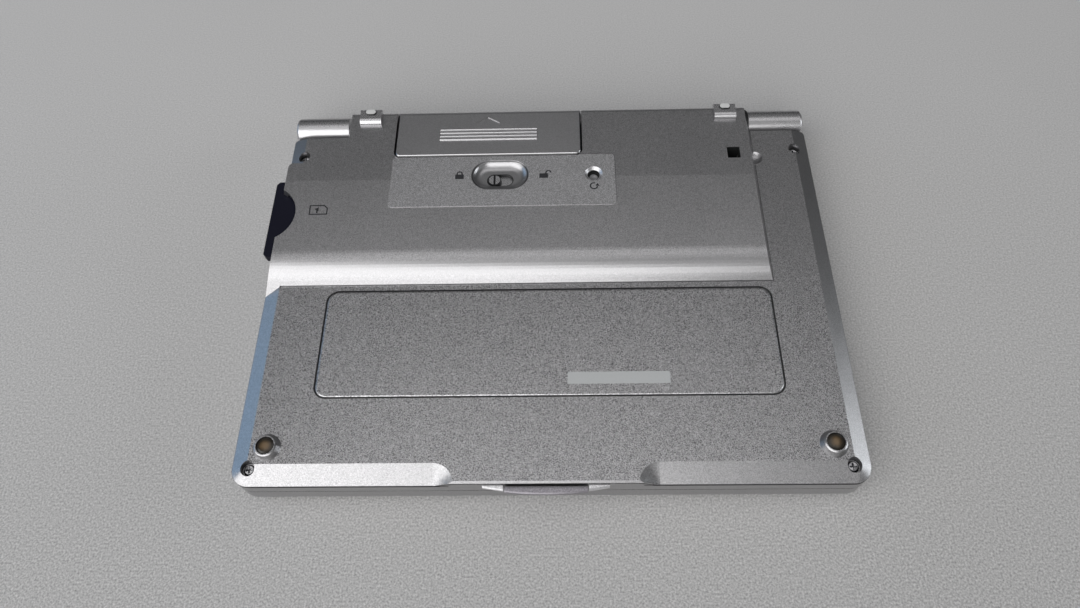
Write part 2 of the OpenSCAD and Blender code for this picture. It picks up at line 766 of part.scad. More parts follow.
// Broken edge along the front, the sides and the round corners of the battery cover
module door_bevel() {
    b = 0.4;
    r = 1.5;
    x0 = door_x - door_w / 2;
    x1 = door_x + door_w / 2;
    along_x(x0 + r, x1 - r)
        polygon([[door_front - 1, top_z - b - 1], [door_front + b + 1, top_z + 1], [door_front - 1, top_z + 1]]);
    for (s = [0, 1]) translate([door_x, 0, 0]) mirror([s, 0, 0]) {
        along_y(door_front + r, back_y + 1)
            polygon([[door_w / 2 + 1, top_z - b - 1], [door_w / 2 - b - 1, top_z + 1], [door_w / 2 + 1, top_z + 1]]);
        intersection() {
            translate([door_w / 2 - r, door_front + r, 0]) rotate_extrude()
                polygon([[r - b, top_z], [r + 1, top_z - b - 1], [r + 1, top_z + 1], [r - b, top_z + 1]]);
            block([door_w / 2 - r, door_front - 1, 0], [door_w / 2 + 1, door_front + r, top_z + 1]);
        }
    }
}

// Sliding battery cover with ribs, arrow and front tongues
module battery_cover() {
    x0 = door_x - door_w / 2;
    rib_y = rear - 4.95;
    arrow_y = rear + 1.5;
    color(plastic) {
        difference() {
            intersection() {
                along_x(x0, x0 + door_w) housing_profile();
                translate([0, 0, door_low + 0.05]) linear_extrude(20) door_outline();
            }
            along_x(x0 - 1, x0 + door_w + 1) housing_profile(door_t);
            door_bevel();
        }
        for (i = [0 : rib_count - 1])
            translate([door_x - rib_l / 2, rib_y + (i - (rib_count - 1) / 2) * rib_pitch, top_z - eps])
                rotate([90, 0, 90]) linear_extrude(rib_l)
                    polygon([[-0.45, 0], [0.45, 0], [0.2, 0.4], [-0.2, 0.4]]);
        translate([door_x - 0.3, arrow_y, top_z - eps]) linear_extrude(0.25) for (s = [0, 1]) mirror([s, 0, 0])
            polygon([[0, 0], [3.2, -1.95], [3.2, -2.4], [0, -0.5]]);
        for (x = [x0 + 8, x0 + door_w - 14])
            translate([x, door_front - 1, top_z - 2]) cube([6, 2, 0.6]);
        for (x = [x0 + 8, x0 + door_w - 14])
            translate([x, door_front + 0.3, top_z - 2]) cube([6, 0.7, 0.8]);
    }
}

// Lock knob on its plate below the dished recess
module battery_lock() {
    plate_z = dish_floor - lock_skin - 0.1 - 0.7;
    color("silver") {
        difference() {
            translate([knob_x, lock_y, plate_z]) cylinder(h = dish_floor - plate_z + 0.3, r = knob_d / 2);
            translate([knob_x - 0.25, lock_y - 3, dish_floor - 0.1]) cube([0.5, 6, 2]);
        }
        translate([knob_x - 4, lock_y - 2.6, plate_z]) cube([9, 5.2, 0.7]);
        translate([knob_x - 1.5, lock_y + 2.5, plate_z]) cube([3, 4.2, 0.7]);
    }
}

// Reset button with its flange inside and a pen dimple
module reset_button() {
    color("gray") difference() {
        union() {
            translate([reset_x, reset_y, reset_seat - 0.6]) cylinder(h = 1.9, r = reset_d / 2);
            translate([reset_x, reset_y, reset_seat - 0.65]) cylinder(h = 0.6, r = 2.2);
        }
        translate([reset_x, reset_y, reset_seat + 2.2]) sphere(1.2);
    }
}

// One cell with its raised terminal towards +x
module cell(x) {
    color("goldenrod") translate([x, cell_y, cell_z]) rotate([0, 90, 0]) rotate_extrude()
        polygon([[0, 0], [cell_d / 2 - 1.4, 0], [cell_d / 2 - 1.2, 0.3], [cell_d / 2 - 0.4, 0.3],
            [cell_d / 2, 0.7], [cell_d / 2, cell_l - 1.9], [cell_d / 2 - 0.5, cell_l - 1.3],
            [1.9, cell_l - 1.1], [1.9, cell_l - 0.1], [1.7, cell_l], [0, cell_l]]);
}

// Conical coil of the negative contact, swept along its own helix
module contact_spring() {
    turns = 3.5;
    steps = 56;
    wire = 0.3;
    sides = 6;
    length = cell_left_x - bay_left - 0.7;
    function coil(t) = let (a = 360 * turns * t, r = 3.6 - 1.4 * t)
        [bay_left + 0.4 + length * t, cell_y + r * cos(a), cell_z + r * sin(a)];
    points = [for (i = [0 : steps], k = [0 : sides - 1])
        let (t = i / steps, a = 360 * turns * t, b = 360 * k / sides, c = coil(t))
        c + wire * [sin(b), cos(b) * cos(a), cos(b) * sin(a)]];
    around = [for (i = [0 : steps - 1], k = [0 : sides - 1])
        let (p = i * sides + k, q = i * sides + (k + 1) % sides)
        each [[p, q, q + sides], [p, q + sides, p + sides]]];
    ends = [[for (k = [0 : sides - 1]) sides - 1 - k], [for (k = [0 : sides - 1]) steps * sides + k]];
    color(steel) {
        polyhedron(points, concat(around, ends));
        translate([bay_left + 0.02, cell_y - 3.8, cell_z - 3.8]) cube([0.3, 7.6, 7.6]);
    }
}

// Positive contact at the right end of the bay
module contact_plate() {
    color(steel) {
        translate([bay_right - 0.32, cell_y - 3.8, cell_z - 3.8]) cube([0.3, 7.6, 7.6]);
        translate([bay_right - 0.55, cell_y, cell_z]) rotate([0, 90, 0]) cylinder(h = 0.4, r = 1.6);
    }
}

// Circuit board in the housing
module main_board() {
    side = housing_x - 3;
    y0 = foot_y + 5.2;
    color("seagreen") translate([0, 0, board_z]) linear_extrude(board_t) difference() {
        polygon([[-half_w + 6, y0], [side - 5, y0], [side - 5, bay_front - 2.4], [-side, bay_front - 2.4],
            [-side, rear - arm_y - 1.8], [-half_w + 6, rear - arm_y - 1.8]]);
        for (x = [-side + 3, side - 8]) translate([x, bay_front - 5]) circle(1);
    }
}

// Chips, crystal and the reset switch on the board
module board_chips() {
    z = board_z + board_t + 0.02;
    color(dark) {
        translate([-0.51 * housing_x, foot_y + 0.2 * housing_l, z]) cube([0.26 * housing_x, 0.28 * housing_l, 1.2]);
        translate([-0.11 * housing_x, foot_y + 0.18 * housing_l, z]) cube([0.22 * housing_x, 0.36 * housing_l, 1]);
        translate([0.26 * housing_x, foot_y + 0.16 * housing_l, z]) cube([0.33 * housing_x, 0.16 * housing_l, 1]);
        translate([0.44 * housing_x, foot_y + 0.44 * housing_l, z]) cube([0.15 * housing_x, 0.06 * housing_l, 1.1]);
        translate([reset_x - 1.5, reset_y - 1.5, z]) cube([3, 3, 0.4]);
    }
}

// Folded metal socket open towards the left side
module card_socket() {
    y0 = card_mid - card_w / 2 - 0.25 - socket_wall;
    y1 = card_mid + card_w / 2 + 0.25 + socket_wall;
    z0 = board_z + board_t + 0.02;
    z1 = card_z + card_t + 0.15 + socket_wall;
    color(steel) difference() {
        block([socket_x0, y0, z0], [socket_x1, y1, z1]);
        block([socket_x0 - 1, y0 + socket_wall, card_z - 0.1],
            [socket_x1 - socket_wall - 0.3, y1 - socket_wall, z1 - socket_wall]);
        translate([(socket_x0 + socket_x1) / 2, card_mid, z1 - 1]) linear_extrude(3) rounded(12, 10, 1);
        for (y = [-7, 7]) translate([socket_x1 - 7, card_mid + y, z1 - 1]) linear_extrude(3) stadium(6, 1.4);
    }
}

// Memory card with its cut corner, side steps and rear ledge
module memory_card() {
    color(dark) translate([card_x, card_mid - card_w / 2, card_z]) difference() {
        linear_extrude(card_t) polygon([[0, 0.8], [0.8, 0], [card_l, 0], [card_l, card_w - 4],
            [card_l - 4, card_w], [0.8, card_w], [0, card_w - 0.8]]);
        translate([6, -1, -1]) cube([40, 1.7, 1.7]);
        translate([6, card_w - 0.7, -1]) cube([40, 3, 1.7]);
        for (i = [0 : 7]) translate([card_l - 5, 2 + i * 2.45, -1]) cube([6, 1.7, 1.3]);
        translate([card_l - 23, 2.5, card_t - 0.15]) cube([20, card_w - 5, 1]);
    }
}

// Plan of the two key sheets: the deck's inside less the speaker and the screw posts
module sheet_plan() {
    difference() {
        translate([-half_w + 4.6, front + 7.2]) square([case_w - 9.2, case_d - 20.6]);
        translate([speaker_x, speaker_y]) circle(speaker_r + 0.6);
        for (p = screw_spots) translate(p) circle(3);
    }
}

// Rubber sheet with a dome under every key
module keypad_sheet() {
    color("darkgray") {
        translate([0, 0, sheet_z]) linear_extrude(0.5) sheet_plan();
        translate([0, 0, sheet_z - dome_h]) linear_extrude(dome_h + eps) {
            for (r = [1, 0, -1], x = letter_row) translate([x, r * row_pitch]) circle(1.8, $fn = 16);
            for (r = [-2, -3], x = short_row) translate([x, r * row_pitch]) circle(1.8, $fn = 16);
            for (x = index_row) translate([x, 2 * row_pitch]) circle(1.8, $fn = 16);
            for (x = concat(function_row, [power_x])) translate([x, 3 * row_pitch]) circle(1.8, $fn = 16);
            for (x = space_row) translate([x, -4 * row_pitch]) circle(1.8, $fn = 16);
            translate([cursor_x, cursor_y]) circle(1.8, $fn = 16);
        }
    }
}

// Contact board behind the rubber sheet
module key_board() {
    color("seagreen") translate([0, 0, key_board_z]) linear_extrude(0.8) sheet_plan();
}

// Small round speaker behind the slots
module speaker() {
    z = deck_z + wall + 0.05;
    color(dark) translate([speaker_x, speaker_y, z]) rotate_extrude()
        polygon([[0, 0.4], [3, 0.2], [speaker_r - 1, 0.5], [speaker_r - 0.8, 0], [speaker_r, 0],
            [speaker_r, 1], [speaker_r - 1.5, 1.6], [speaker_r - 2, 2.6], [0, 2.6]]);
}

// Disc in one front foot
module foot_pad(side) {
    r = foot_d / 2 - 1.1;
    color("darkolivegreen") translate([side * front_foot_x, front_foot_y, flat_z + foot_h - 0.68])
        rotate_extrude() polygon([[0, 0], [r, 0], [r, 0.25], [r - 0.2, 0.42], [r * 0.7, 0.53], [r * 0.35, 0.6],
            [0, 0.62]]);
}

// Half-round rear foot, silver, straddling the housing's rear edge
module rear_foot(side) {
    y0 = back_y - 5.3;
    y1 = back_y - 0.25;
    r = rear_foot_h;
    z = top_z + 0.01;
    color("white") along_x(side * rear_foot_x - rear_foot_w / 2, side * rear_foot_x + rear_foot_w / 2)
        polygon(concat([[y0, z]], arc(y0 + r, z, r, 180, 90, 10), arc(y1 - 1, z + r - 1, 1, 90, 0, 6), [[y1, z]]));
}

// Oval pad on one rear foot
module rear_pad(side) {
    color("lightgray") translate([side * rear_foot_x, back_y - 1.85, top_z + rear_foot_h + 0.02]) {
        linear_extrude(0.25) stadium(3, 1.8);
        translate([0, 0, 0.25 - eps]) linear_extrude(0.2) stadium(2.7, 1.5);
    }
}

// Cross-recessed case screws
module case_screws() {
    color(steel) for (p = screw_spots) translate([p[0], p[1], screw_seat]) difference() {
        union() {
            translate([0, 0, 0.02]) rotate_extrude() polygon([[0, 0], [screw_d / 2, 0], [screw_d / 2, 0.5],
                [screw_d / 2 - 0.35, 0.85], [0, 1]]);
            translate([0, 0, -1.55]) cylinder(h = 1.65, r = 0.7);
        }
        for (a = [0, 90]) rotate([0, 0, a + 20]) translate([-0.75, -0.17, 0.5]) cube([1.5, 0.34, 1]);
    }
}

// Hinge barrel for the right side, its outer end rounded
module barrel() {
    color("white") translate([barrel_x, hinge_y, hinge_z]) rotate([0, 90, 0]) difference() {
        rotate_extrude() union() {
            square([barrel_r - 1.1, barrel_l]);
            square([barrel_r, barrel_l - 1.1]);
            translate([barrel_r - 1.1, barrel_l - 1.1]) circle(1.1);
        }
        translate([0, 0, 0.39]) cylinder(h = unit_l + 0.05, r = unit_r + 0.02);
        translate([0, 0, -1]) cylinder(h = 4, r = shaft_r + 0.2);
    }
}

// Friction unit inside one barrel
module hinge_unit() {
    color(steel) translate([unit_x, hinge_y, hinge_z]) rotate([0, 90, 0]) difference() {
        cylinder(h = unit_l - 0.05, r = unit_r);
        translate([0, 0, -1]) cylinder(h = unit_l, r = shaft_r + shaft_gap);
    }
}

// Steel shaft from the sleeve in the base into the friction unit
module hinge_shaft() {
    color(steel) translate([holder_x + 0.3, hinge_y, hinge_z]) rotate([0, 90, 0])
        cylinder(h = unit_x + unit_l - 1.4 - holder_x, r = shaft_r);
}

// Steel sleeve that keys the shaft to the base
module hinge_holder() {
    color(steel) translate([holder_x, hinge_y, hinge_z]) rotate([0, 90, 0]) difference() {
        cylinder(h = holder_l, r = holder_r);
        translate([0, 0, -1]) cylinder(h = holder_l + 2, r = shaft_r + 0.02);
    }
}

// Black cable looped round the right hinge shaft in the gap beside the barrel
module display_cable() {
    x0 = barrel_x - 1.05;
    color("black") translate([x0, hinge_y, hinge_z]) rotate([0, 90, 0]) difference() {
        rotate_extrude() translate([0, 0.5]) union() {
            translate([shaft_r + 0.5, -0.4]) square([barrel_r - shaft_r - 0.8, 0.8]);
            translate([barrel_r - 0.1, 0]) circle(0.5);
        }
    }
    color("black") block([x0 + 0.15, hinge_y - 1, bezel_z + 0.05],
        [x0 + 0.9, hinge_y + 1, hinge_z - barrel_r + 1]);
}

// Lid edge profile with rounded lower corners, w wide from x = 0
module lid_section(w) {
    translate([0, lid_edge_r]) square([w, lid_h - lid_edge_r]);
    translate([lid_edge_r, 0]) square([w - 2 * lid_edge_r, lid_h]);
    for (x = [lid_edge_r, w - lid_edge_r]) translate([x, lid_edge_r]) circle(lid_edge_r);
}

// Lid plate with edges and corners rounded towards the table
module lid_plate() {
    r = corner_r;
    length = lid_rear - front;
    along_y(front + r, lid_rear - r) translate([-half_w, 0]) lid_section(case_w);
    along_x(-half_w + r, half_w - r) translate([front, 0]) lid_section(length);
    for (x = [-1, 1], y = [front + r, lid_rear - r]) translate([x * (half_w - r), y, 0])
        rotate_extrude() {
            translate([0, lid_edge_r]) square([r, lid_h - lid_edge_r]);
            square([r - lid_edge_r, lid_h]);
            translate([r - lid_edge_r, lid_edge_r]) intersection() {
                circle(lid_edge_r);
                translate([-r + lid_edge_r, -lid_edge_r]) square([r, lid_edge_r + eps]);
            }
        }
}

// Outer lid: shallow tray, hinge towers and the finger tab
module lid_shell() {
    inner_w = half_w - lid_wall;
    tower_x = barrel_x;
    color(plastic) difference() {
        union() {
            difference() {
                lid_plate();
                // Inside of the tray and the low rear rail below the base's round back
                block([-inner_w, front + lid_wall, lid_floor], [inner_w, bezel_rear + 0.1, lid_h + 1]);
                block([-inner_w, bezel_rear, bezel_z], [inner_w, lid_rear + 1, lid_h + 1]);
                block([-half_w - 1, rear + 0.1, bezel_z], [half_w + 1, lid_rear + 1, lid_h + 1]);
            }
            // Towers that carry the barrels
            for (s = [0, 1]) mirror([s, 0, 0])
                along_x(tower_x, half_w - 0.2) difference() {
                    union() {
                        translate([rear + 0.8, 1.6]) square([hinge_y + barrel_r - rear - 0.8 - 1.4, hinge_z - 2.6]);
                        translate([hinge_y + barrel_r - 3, 3]) square([3, hinge_z - 4]);
                        translate([hinge_y + barrel_r - 3, 3]) circle(3);
                    }
                    translate([hinge_y, hinge_z]) circle(barrel_r + 0.03);
                }
            // Finger tab in front of the deck's side band
            translate([lip_x, 0, tab_z - lip_t]) lip_ledge(-lip_split + lip_gap, lip_split - lip_gap, front - 0.15);
            along_x(lip_x - lip_split + lip_gap, lip_x + lip_split - lip_gap)
                polygon([[front - 0.15, tab_z - 0.2], [front - 1, tab_z - 0.2], [front - 0.7, lid_h],
                    [front + 0.1, lid_edge_r + 0.4], [front + 1, lid_edge_r + 0.4], [front + 1, lid_h],
                    [front - 0.15, lid_h]]);
            // Screw bosses
            for (p = lid_spots) translate([p[0], p[1], lid_floor - 0.2])
                cylinder(h = bezel_z - bezel_t - lid_floor + 0.15, r = 1.8);
        }
        for (p = lid_spots) translate([p[0], p[1], lid_floor + 0.3]) cylinder(h = 6, r = 0.75);
        // The tab stays clear of the base above the rim
        block([lip_x - lip_split, front - 0.15, lid_h], [lip_x + lip_split, front + 1, flat_z]);
    }
}

// Inner frame round the display with a raised border
module lid_bezel() {
    w = half_w - lid_wall - 0.1;
    y0 = front + lid_wall + 0.1;
    color("slategray") difference() {
        union() {
            block([-w, y0, bezel_z - bezel_t], [w, bezel_rear, bezel_z]);
            difference() {
                block([-w, y0, bezel_z - 0.1], [w, border_rear, border_z]);
                block([-w + border_w, y0 + border_w, bezel_z - 1], [w - border_w, border_rear + 1, border_z + 1]);
            }
        }
        translate([0, window_y, bezel_z - window_t]) linear_extrude(2)
            rounded(window_w + 0.2, window_d + 0.2, 2.1);
        translate([0, window_y, bezel_z - bezel_t - 1]) linear_extrude(4)
            rounded(window_w - 3, window_d - 3, 1.5);
        for (p = lid_spots) translate([p[0], p[1], 0]) {
            cylinder(h = 20, r = 0.85);
            translate([0, 0, border_z - 0.9]) cylinder(h = 2, r = 1.6);
        }
    }
}

// Clear window set flush in the bezel
module display_window() {
    color([0.6, 0.65, 0.6, 0.5]) translate([0, window_y, bezel_z - window_t + 0.02])
        linear_extrude(window_t - 0.02) rounded(window_w, window_d, 2);
}

// Liquid crystal glass below the window
module lcd_panel() {
    color("darkseagreen") {
        translate([-window_w / 2 + 4, window_y - window_d / 2 + 3, bezel_z - bezel_t - 0.6])
            cube([window_w - 8, window_d - 6, 0.55]);
        translate([-window_w / 2 + 3, window_y - window_d / 2 + 1.5, bezel_z - bezel_t - 1.1])
            cube([window_w - 6, window_d - 3, 0.5]);
    }
}

// Plastic carrier round the glass
module lcd_carrier() {
    z0 = lid_floor + 0.03;
    color("ivory") difference() {
        translate([-glass_w / 2, window_y - glass_d / 2, z0])
            cube([glass_w, glass_d, bezel_z - bezel_t - 0.05 - z0]);
        translate([-window_w / 2 + 2.8, window_y - window_d / 2 + 1.3, bezel_z - bezel_t - 1.15])
            cube([window_w - 5.6, window_d - 2.6, 3]);
        translate([-window_w / 2 + 8, window_y - window_d / 2 + 8, 0]) cube([window_w - 16, window_d - 16, 9]);
    }
}

// Driver board beside the carrier, towards the hinge
module lcd_board() {
    y0 = window_y + glass_d / 2 + 1;
    color("seagreen") block([-0.25 * window_w, y0, lid_floor + 0.05], [0.36 * window_w, y0 + 10, lid_floor + 0.85]);
    color(dark) block([-0.07 * window_w, y0 + 3, lid_floor + 0.84], [0.12 * window_w, y0 + 7, lid_floor + 1.4]);
}

// Screws below the rubber buttons
module lid_screws() {
    color(steel) for (p = lid_spots) translate([p[0], p[1], 0]) {
        translate([0, 0, border_z - 0.88]) cylinder(h = 0.7, r = 1.45);
        translate([0, 0, lid_floor + 0.5]) cylinder(h = border_z - 0.8 - lid_floor - 0.5, r = 0.7);
    }
}

// Rubber buttons that keep the halves apart
module lid_bumpers() {
    color("black") for (p = lid_spots) translate([p[0], p[1], border_z + 0.01])
        cylinder(h = lid_h - border_z + 0.05, r1 = 1.7, r2 = 1.5);
}

// Ring of the cursor keys
module cursor_ring() {
    tip = deck_z - key_out + 0.3;
    base = deck_z + wall + 0.05;
    color("gainsboro") translate([cursor_x, cursor_y, 0]) rotate_extrude()
        polygon([[enter_r + key_gap, tip + 0.5], [enter_r + key_gap + 0.5, tip + 0.2], [7, tip],
            [cursor_r - 0.6, tip + 0.3], [cursor_r, tip + 0.8], [cursor_r, base], [cursor_r + 0.4, base],
            [cursor_r + 0.4, base + flange_t], [enter_r + key_gap, base + flange_t]]);
}

// Round key in the middle of the ring
module enter_key() {
    tip = deck_z - key_out;
    base = deck_z + wall + 0.05;
    color("gainsboro") translate([cursor_x, cursor_y, 0]) rotate_extrude()
        polygon([[0, tip + 0.15], [enter_r - 0.8, tip], [enter_r, tip + 0.5], [enter_r, base + flange_t],
            [0, base + flange_t]]);
}

lid_shell();
lid_bezel();
display_window();
lcd_panel();
lcd_carrier();
lcd_board();
lid_screws();
lid_bumpers();
mirror([1, 0, 0]) barrel();  // hinge_barrel_left
barrel();  // hinge_barrel_right
mirror([1, 0, 0]) hinge_unit();  // hinge_unit_left
hinge_unit();  // hinge_unit_right
display_cable();
bottom_cover();
keyboard_deck();
label_plate();
battery_cover();
battery_lock();
reset_button();
cell(cell_left_x);  // cell_left
cell(cell_right_x);  // cell_right
contact_spring();
contact_plate();
main_board();
board_chips();
card_socket();
memory_card();
key_board();
keypad_sheet();
speaker();
foot_pad(-1);  // foot_pad_left
foot_pad(1);  // foot_pad_right
rear_foot(-1);  // rear_foot_left
rear_foot(1);  // rear_foot_right
rear_pad(-1);  // rear_pad_left
rear_pad(1);  // rear_pad_right
case_screws();
mirror([1, 0, 0]) hinge_shaft();  // hinge_shaft_left
hinge_shaft();  // hinge_shaft_right
mirror([1, 0, 0]) hinge_holder();  // hinge_holder_left
hinge_holder();  // hinge_holder_right
key_row(function_row, wide_key, 3);  // keys_function
key_row(index_row, wide_key, 2);  // keys_index
key_row(letter_row, key_w, 1);  // keys_number
key_row(letter_row, key_w, 0);  // keys_upper
key_row(letter_row, key_w, -1);  // keys_middle
key_row(short_row, key_w, -2);  // keys_lower
key_row(short_row, key_w, -3);  // keys_bottom
key_row(space_row, space_key, -4);  // keys_space
key_row([power_x], key_w, 3, key_out - 0.3);  // power_key
cursor_ring();
enter_key();
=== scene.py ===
"""Electronic dictionary, folded shut and lying on its lid, seen from its underside."""
import math

import bmesh
import bpy
from mathutils import Matrix, Vector


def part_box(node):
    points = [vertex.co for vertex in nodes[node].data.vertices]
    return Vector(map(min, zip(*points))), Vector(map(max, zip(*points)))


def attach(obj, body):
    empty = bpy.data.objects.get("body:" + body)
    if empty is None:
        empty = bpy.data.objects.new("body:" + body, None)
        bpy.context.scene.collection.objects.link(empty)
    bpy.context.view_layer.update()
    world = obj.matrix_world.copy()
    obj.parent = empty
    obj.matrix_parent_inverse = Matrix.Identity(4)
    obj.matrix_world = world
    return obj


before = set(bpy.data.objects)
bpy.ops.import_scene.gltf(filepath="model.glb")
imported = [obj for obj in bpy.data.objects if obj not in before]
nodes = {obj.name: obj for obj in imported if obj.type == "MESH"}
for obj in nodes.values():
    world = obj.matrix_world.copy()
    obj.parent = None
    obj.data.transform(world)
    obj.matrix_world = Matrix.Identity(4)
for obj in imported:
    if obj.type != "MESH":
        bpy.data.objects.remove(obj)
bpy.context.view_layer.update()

MM = 0.001

# Camera, solved from the photograph's corners, screws and edges
PHOTO_WIDTH = 1080
FOCAL_PIXELS = 811
SENSOR_WIDTH = 36
CAMERA_AT = Vector((3.5, -104.6, 188.9)) * MM
ELEVATION = math.radians(60.5)
YAW = math.radians(-3.12)
ROLL = math.radians(-3.38)

# Heights on the underside
plate_low, plate_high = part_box("label_plate")
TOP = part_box("bottom_cover")[1].z
PANEL_TOP = TOP - 0.25 * MM
FLAT = plate_high.z + 0.05 * MM

# Places and half sizes on the underside, in the row frame
PANEL = (-11.85 * MM, 30.1 * MM)
PANEL_HALF = (30.05 * MM, 8.4 * MM)
PANEL_CORNER = 1.2 * MM
LOCK_DISH = Vector((-12.6, 31.9)) * MM
LOCK_DISH_HALF = (7.7 * MM, 4.9 * MM)
LOCK_SLOT = Vector((-12.6, 31.1)) * MM
LOCK_SLOT_HALF = (3.35 * MM, 1.85 * MM)
KNOB = Vector((-14.1, 31.1)) * MM
KNOB_RADIUS = 1.75 * MM
RESET_WELL = Vector((12.4, 31.8)) * MM
RESET_RADIUS = 1.62 * MM
STRAP_HOLE = Vector((50.1, 38.05)) * MM
STRAP_HOLE_HALF = (1.78 * MM, 1.93 * MM)
PLATE_CORNER = 2.8 * MM
DOOR_CORNER = 1.2 * MM
DOOR_HOOKS = 1.0 * MM
SCREW_X = 68.4 * MM
SCREW_FRONT = -46.7 * MM
SCREW_REAR = 43.5 * MM
SCREW_WELL = 1.42 * MM
FOOT = Vector((64.5, -42.0)) * MM
LIP_FRONT = -50.9 * MM
WINGS_HALF = 22.0 * MM

# The hinge's axis, as y and z, and the slope of the housing's front half
HINGE_Y = 55.65 * MM
HINGE_Z = 8.6 * MM
FOLD_Y = 30.6 * MM
INCLINE = math.radians(2.6)

PRINT = 0.02 * MM
GRAIN_DEPTH = 0.04 * MM
METAL = 0.97


class Value:
    """A socket's value that takes plain arithmetic and adds the Math nodes for it."""

    def __init__(self, finish, socket):
        self.finish = finish
        self.socket = socket

    def __add__(self, other):
        return self.finish.math("ADD", self, other)

    def __sub__(self, other):
        return self.finish.math("SUBTRACT", self, other)

    def __rsub__(self, other):
        return self.finish.math("SUBTRACT", other, self)

    def __mul__(self, other):
        return self.finish.math("MULTIPLY", self, other)

    def __lt__(self, other):
        return self.finish.math("LESS_THAN", self, other)

    def __gt__(self, other):
        return self.finish.math("GREATER_THAN", self, other)

    def __abs__(self):
        return self.finish.math("ABSOLUTE", self)

    __radd__ = __add__
    __rmul__ = __mul__


class Finish:
    """One material; every node in it comes from node()."""

    SOCKETS = {
        "colour": "Base Color",
        "roughness": "Roughness",
        "metallic": "Metallic",
        "normal": "Normal",
        "ior": "IOR",
        "alpha": "Alpha",
        "transmission": "Transmission Weight",
        "specular": "Specular IOR Level",
        "glow": "Emission Color",
        "glow_strength": "Emission Strength",
    }

    def __init__(self, name):
        self.material = bpy.data.materials.new(name)
        self.material.use_nodes = True
        self.tree = self.material.node_tree
        self.tree.nodes.clear()
        self.place = self.node("ShaderNodeTexCoord", out="Object")
        self.facing = Value(self, self.place.socket.node.outputs["Normal"])

    def node(self, kind, settings=None, inputs=None, out=0):
        made = self.tree.nodes.new(kind)
        for name, setting in (settings or {}).items():
            setattr(made, name, setting)
        for name, given in (inputs or {}).items():
            if isinstance(given, Value):
                self.tree.links.new(given.socket, made.inputs[name])
            else:
                made.inputs[name].default_value = given
        if not made.outputs:
            return None
        return Value(self, made.outputs[out])

    def surface(self, **inputs):
        """Ends the material with its shader and gives it back."""
        sockets = {self.SOCKETS[name]: given for name, given in inputs.items()}
        shader = self.node("ShaderNodeBsdfPrincipled", {}, sockets)
        self.node("ShaderNodeOutputMaterial", {}, {"Surface": shader})
        return self.material

    def math(self, operation, a, b=0.0, clamp=False):
        return self.node("ShaderNodeMath", {"operation": operation, "use_clamp": clamp}, {0: a, 1: b})

    def clamp(self, a):
        return self.math("MULTIPLY", a, 1.0, clamp=True)

    def smaller(self, a, b):
        return self.math("MINIMUM", a, b)

    def larger(self, a, b):
        return self.math("MAXIMUM", a, b)

    def between(self, a, low, high):
        return (a > low) * (a < high)

    def step(self, a, low, high):
        settings = {"interpolation_type": "SMOOTHSTEP"}
        return self.node("ShaderNodeMapRange", settings, {"Value": a, "From Min": low, "From Max": high})

    def mix(self, factor, a, b):
        return self.node("ShaderNodeMix", {"data_type": "RGBA"}, {0: factor, 6: a, 7: b}, out=2)

    def scaled(self, colour, amount):
        return self.node("ShaderNodeVectorMath", {"operation": "SCALE"}, {0: colour, "Scale": amount})

    def axis(self, index, vector=None):
        return self.node("ShaderNodeSeparateXYZ", {}, {0: vector or self.place}, out=index)

    def noise(self, scale, detail, roughness, place=None):
        inputs = {"Vector": place or self.place, "Scale": scale, "Detail": detail, "Roughness": roughness}
        return self.node("ShaderNodeTexNoise", {}, inputs, out="Fac")

    def lines(self, x, y, z):
        """Noise that is stretched along the axis with the lowest scale."""
        inputs = {"Vector": self.place, "Scale": (x, y, z)}
        return self.noise(1.0, 3.0, 0.6, self.node("ShaderNodeMapping", {"vector_type": "POINT"}, inputs))

    def cells(self, scale):
        flakes = self.node("ShaderNodeTexVoronoi", {}, {"Vector": self.place, "Scale": scale}, out="Color")
        return self.node("ShaderNodeSeparateColor", {}, {0: flakes})

    def bump(self, height, strength, distance, normal=None):
        inputs = {"Height": height, "Strength": strength, "Distance": distance}
        if normal is not None:
            inputs["Normal"] = normal
        return self.node("ShaderNodeBump", {}, inputs)

    def length(self, a, b):
        return self.math("SQRT", a * a + b * b)

    def past_disc(self, x, y, centre, radius):
        """How far a point lies outside a disc; negative inside it."""
        return self.length(x - centre[0], y - centre[1]) - radius

    def past_outline(self, x, y, centre, half, corner):
        """How far a point lies outside a rounded rectangle; negative inside it."""
        dx = abs(x - centre[0]) - (half[0] - corner)
        dy = abs(y - centre[1]) - (half[1] - corner)
        beyond = self.length(self.larger(dx, 0.0), self.larger(dy, 0.0))
        return beyond + self.smaller(self.larger(dx, dy), 0.0) - corner

    def round_about(self, centre_y, centre_z, kept_beyond_y=None):
        """Normal of a cylinder along x, so that its moulded facets look round; flat ends keep their own."""
        across = self.axis(1) - centre_y
        radial = self.node("ShaderNodeCombineXYZ", {}, {0: 0.0, 1: across, 2: self.axis(2) - centre_z})
        radial = self.node("ShaderNodeVectorMath", {"operation": "NORMALIZE"}, {0: radial})
        product = {"operation": "DOT_PRODUCT"}
        match = self.node("ShaderNodeVectorMath", product, {0: self.facing, 1: radial}, out="Value")
        is_round = match > 0.93
        if kept_beyond_y is not None:
            is_round = is_round * (across < kept_beyond_y)
        choice = {0: is_round, 4: self.facing, 5: radial}
        chosen = self.node("ShaderNodeMix", {"data_type": "VECTOR"}, choice, out=1)
        turn = {"vector_type": "NORMAL", "convert_from": "OBJECT", "convert_to": "WORLD"}
        return self.node("ShaderNodeVectorTransform", turn, {0: chosen})


def rgb(r, g, b):
    return (r, g, b, 1.0)


# Silver paints

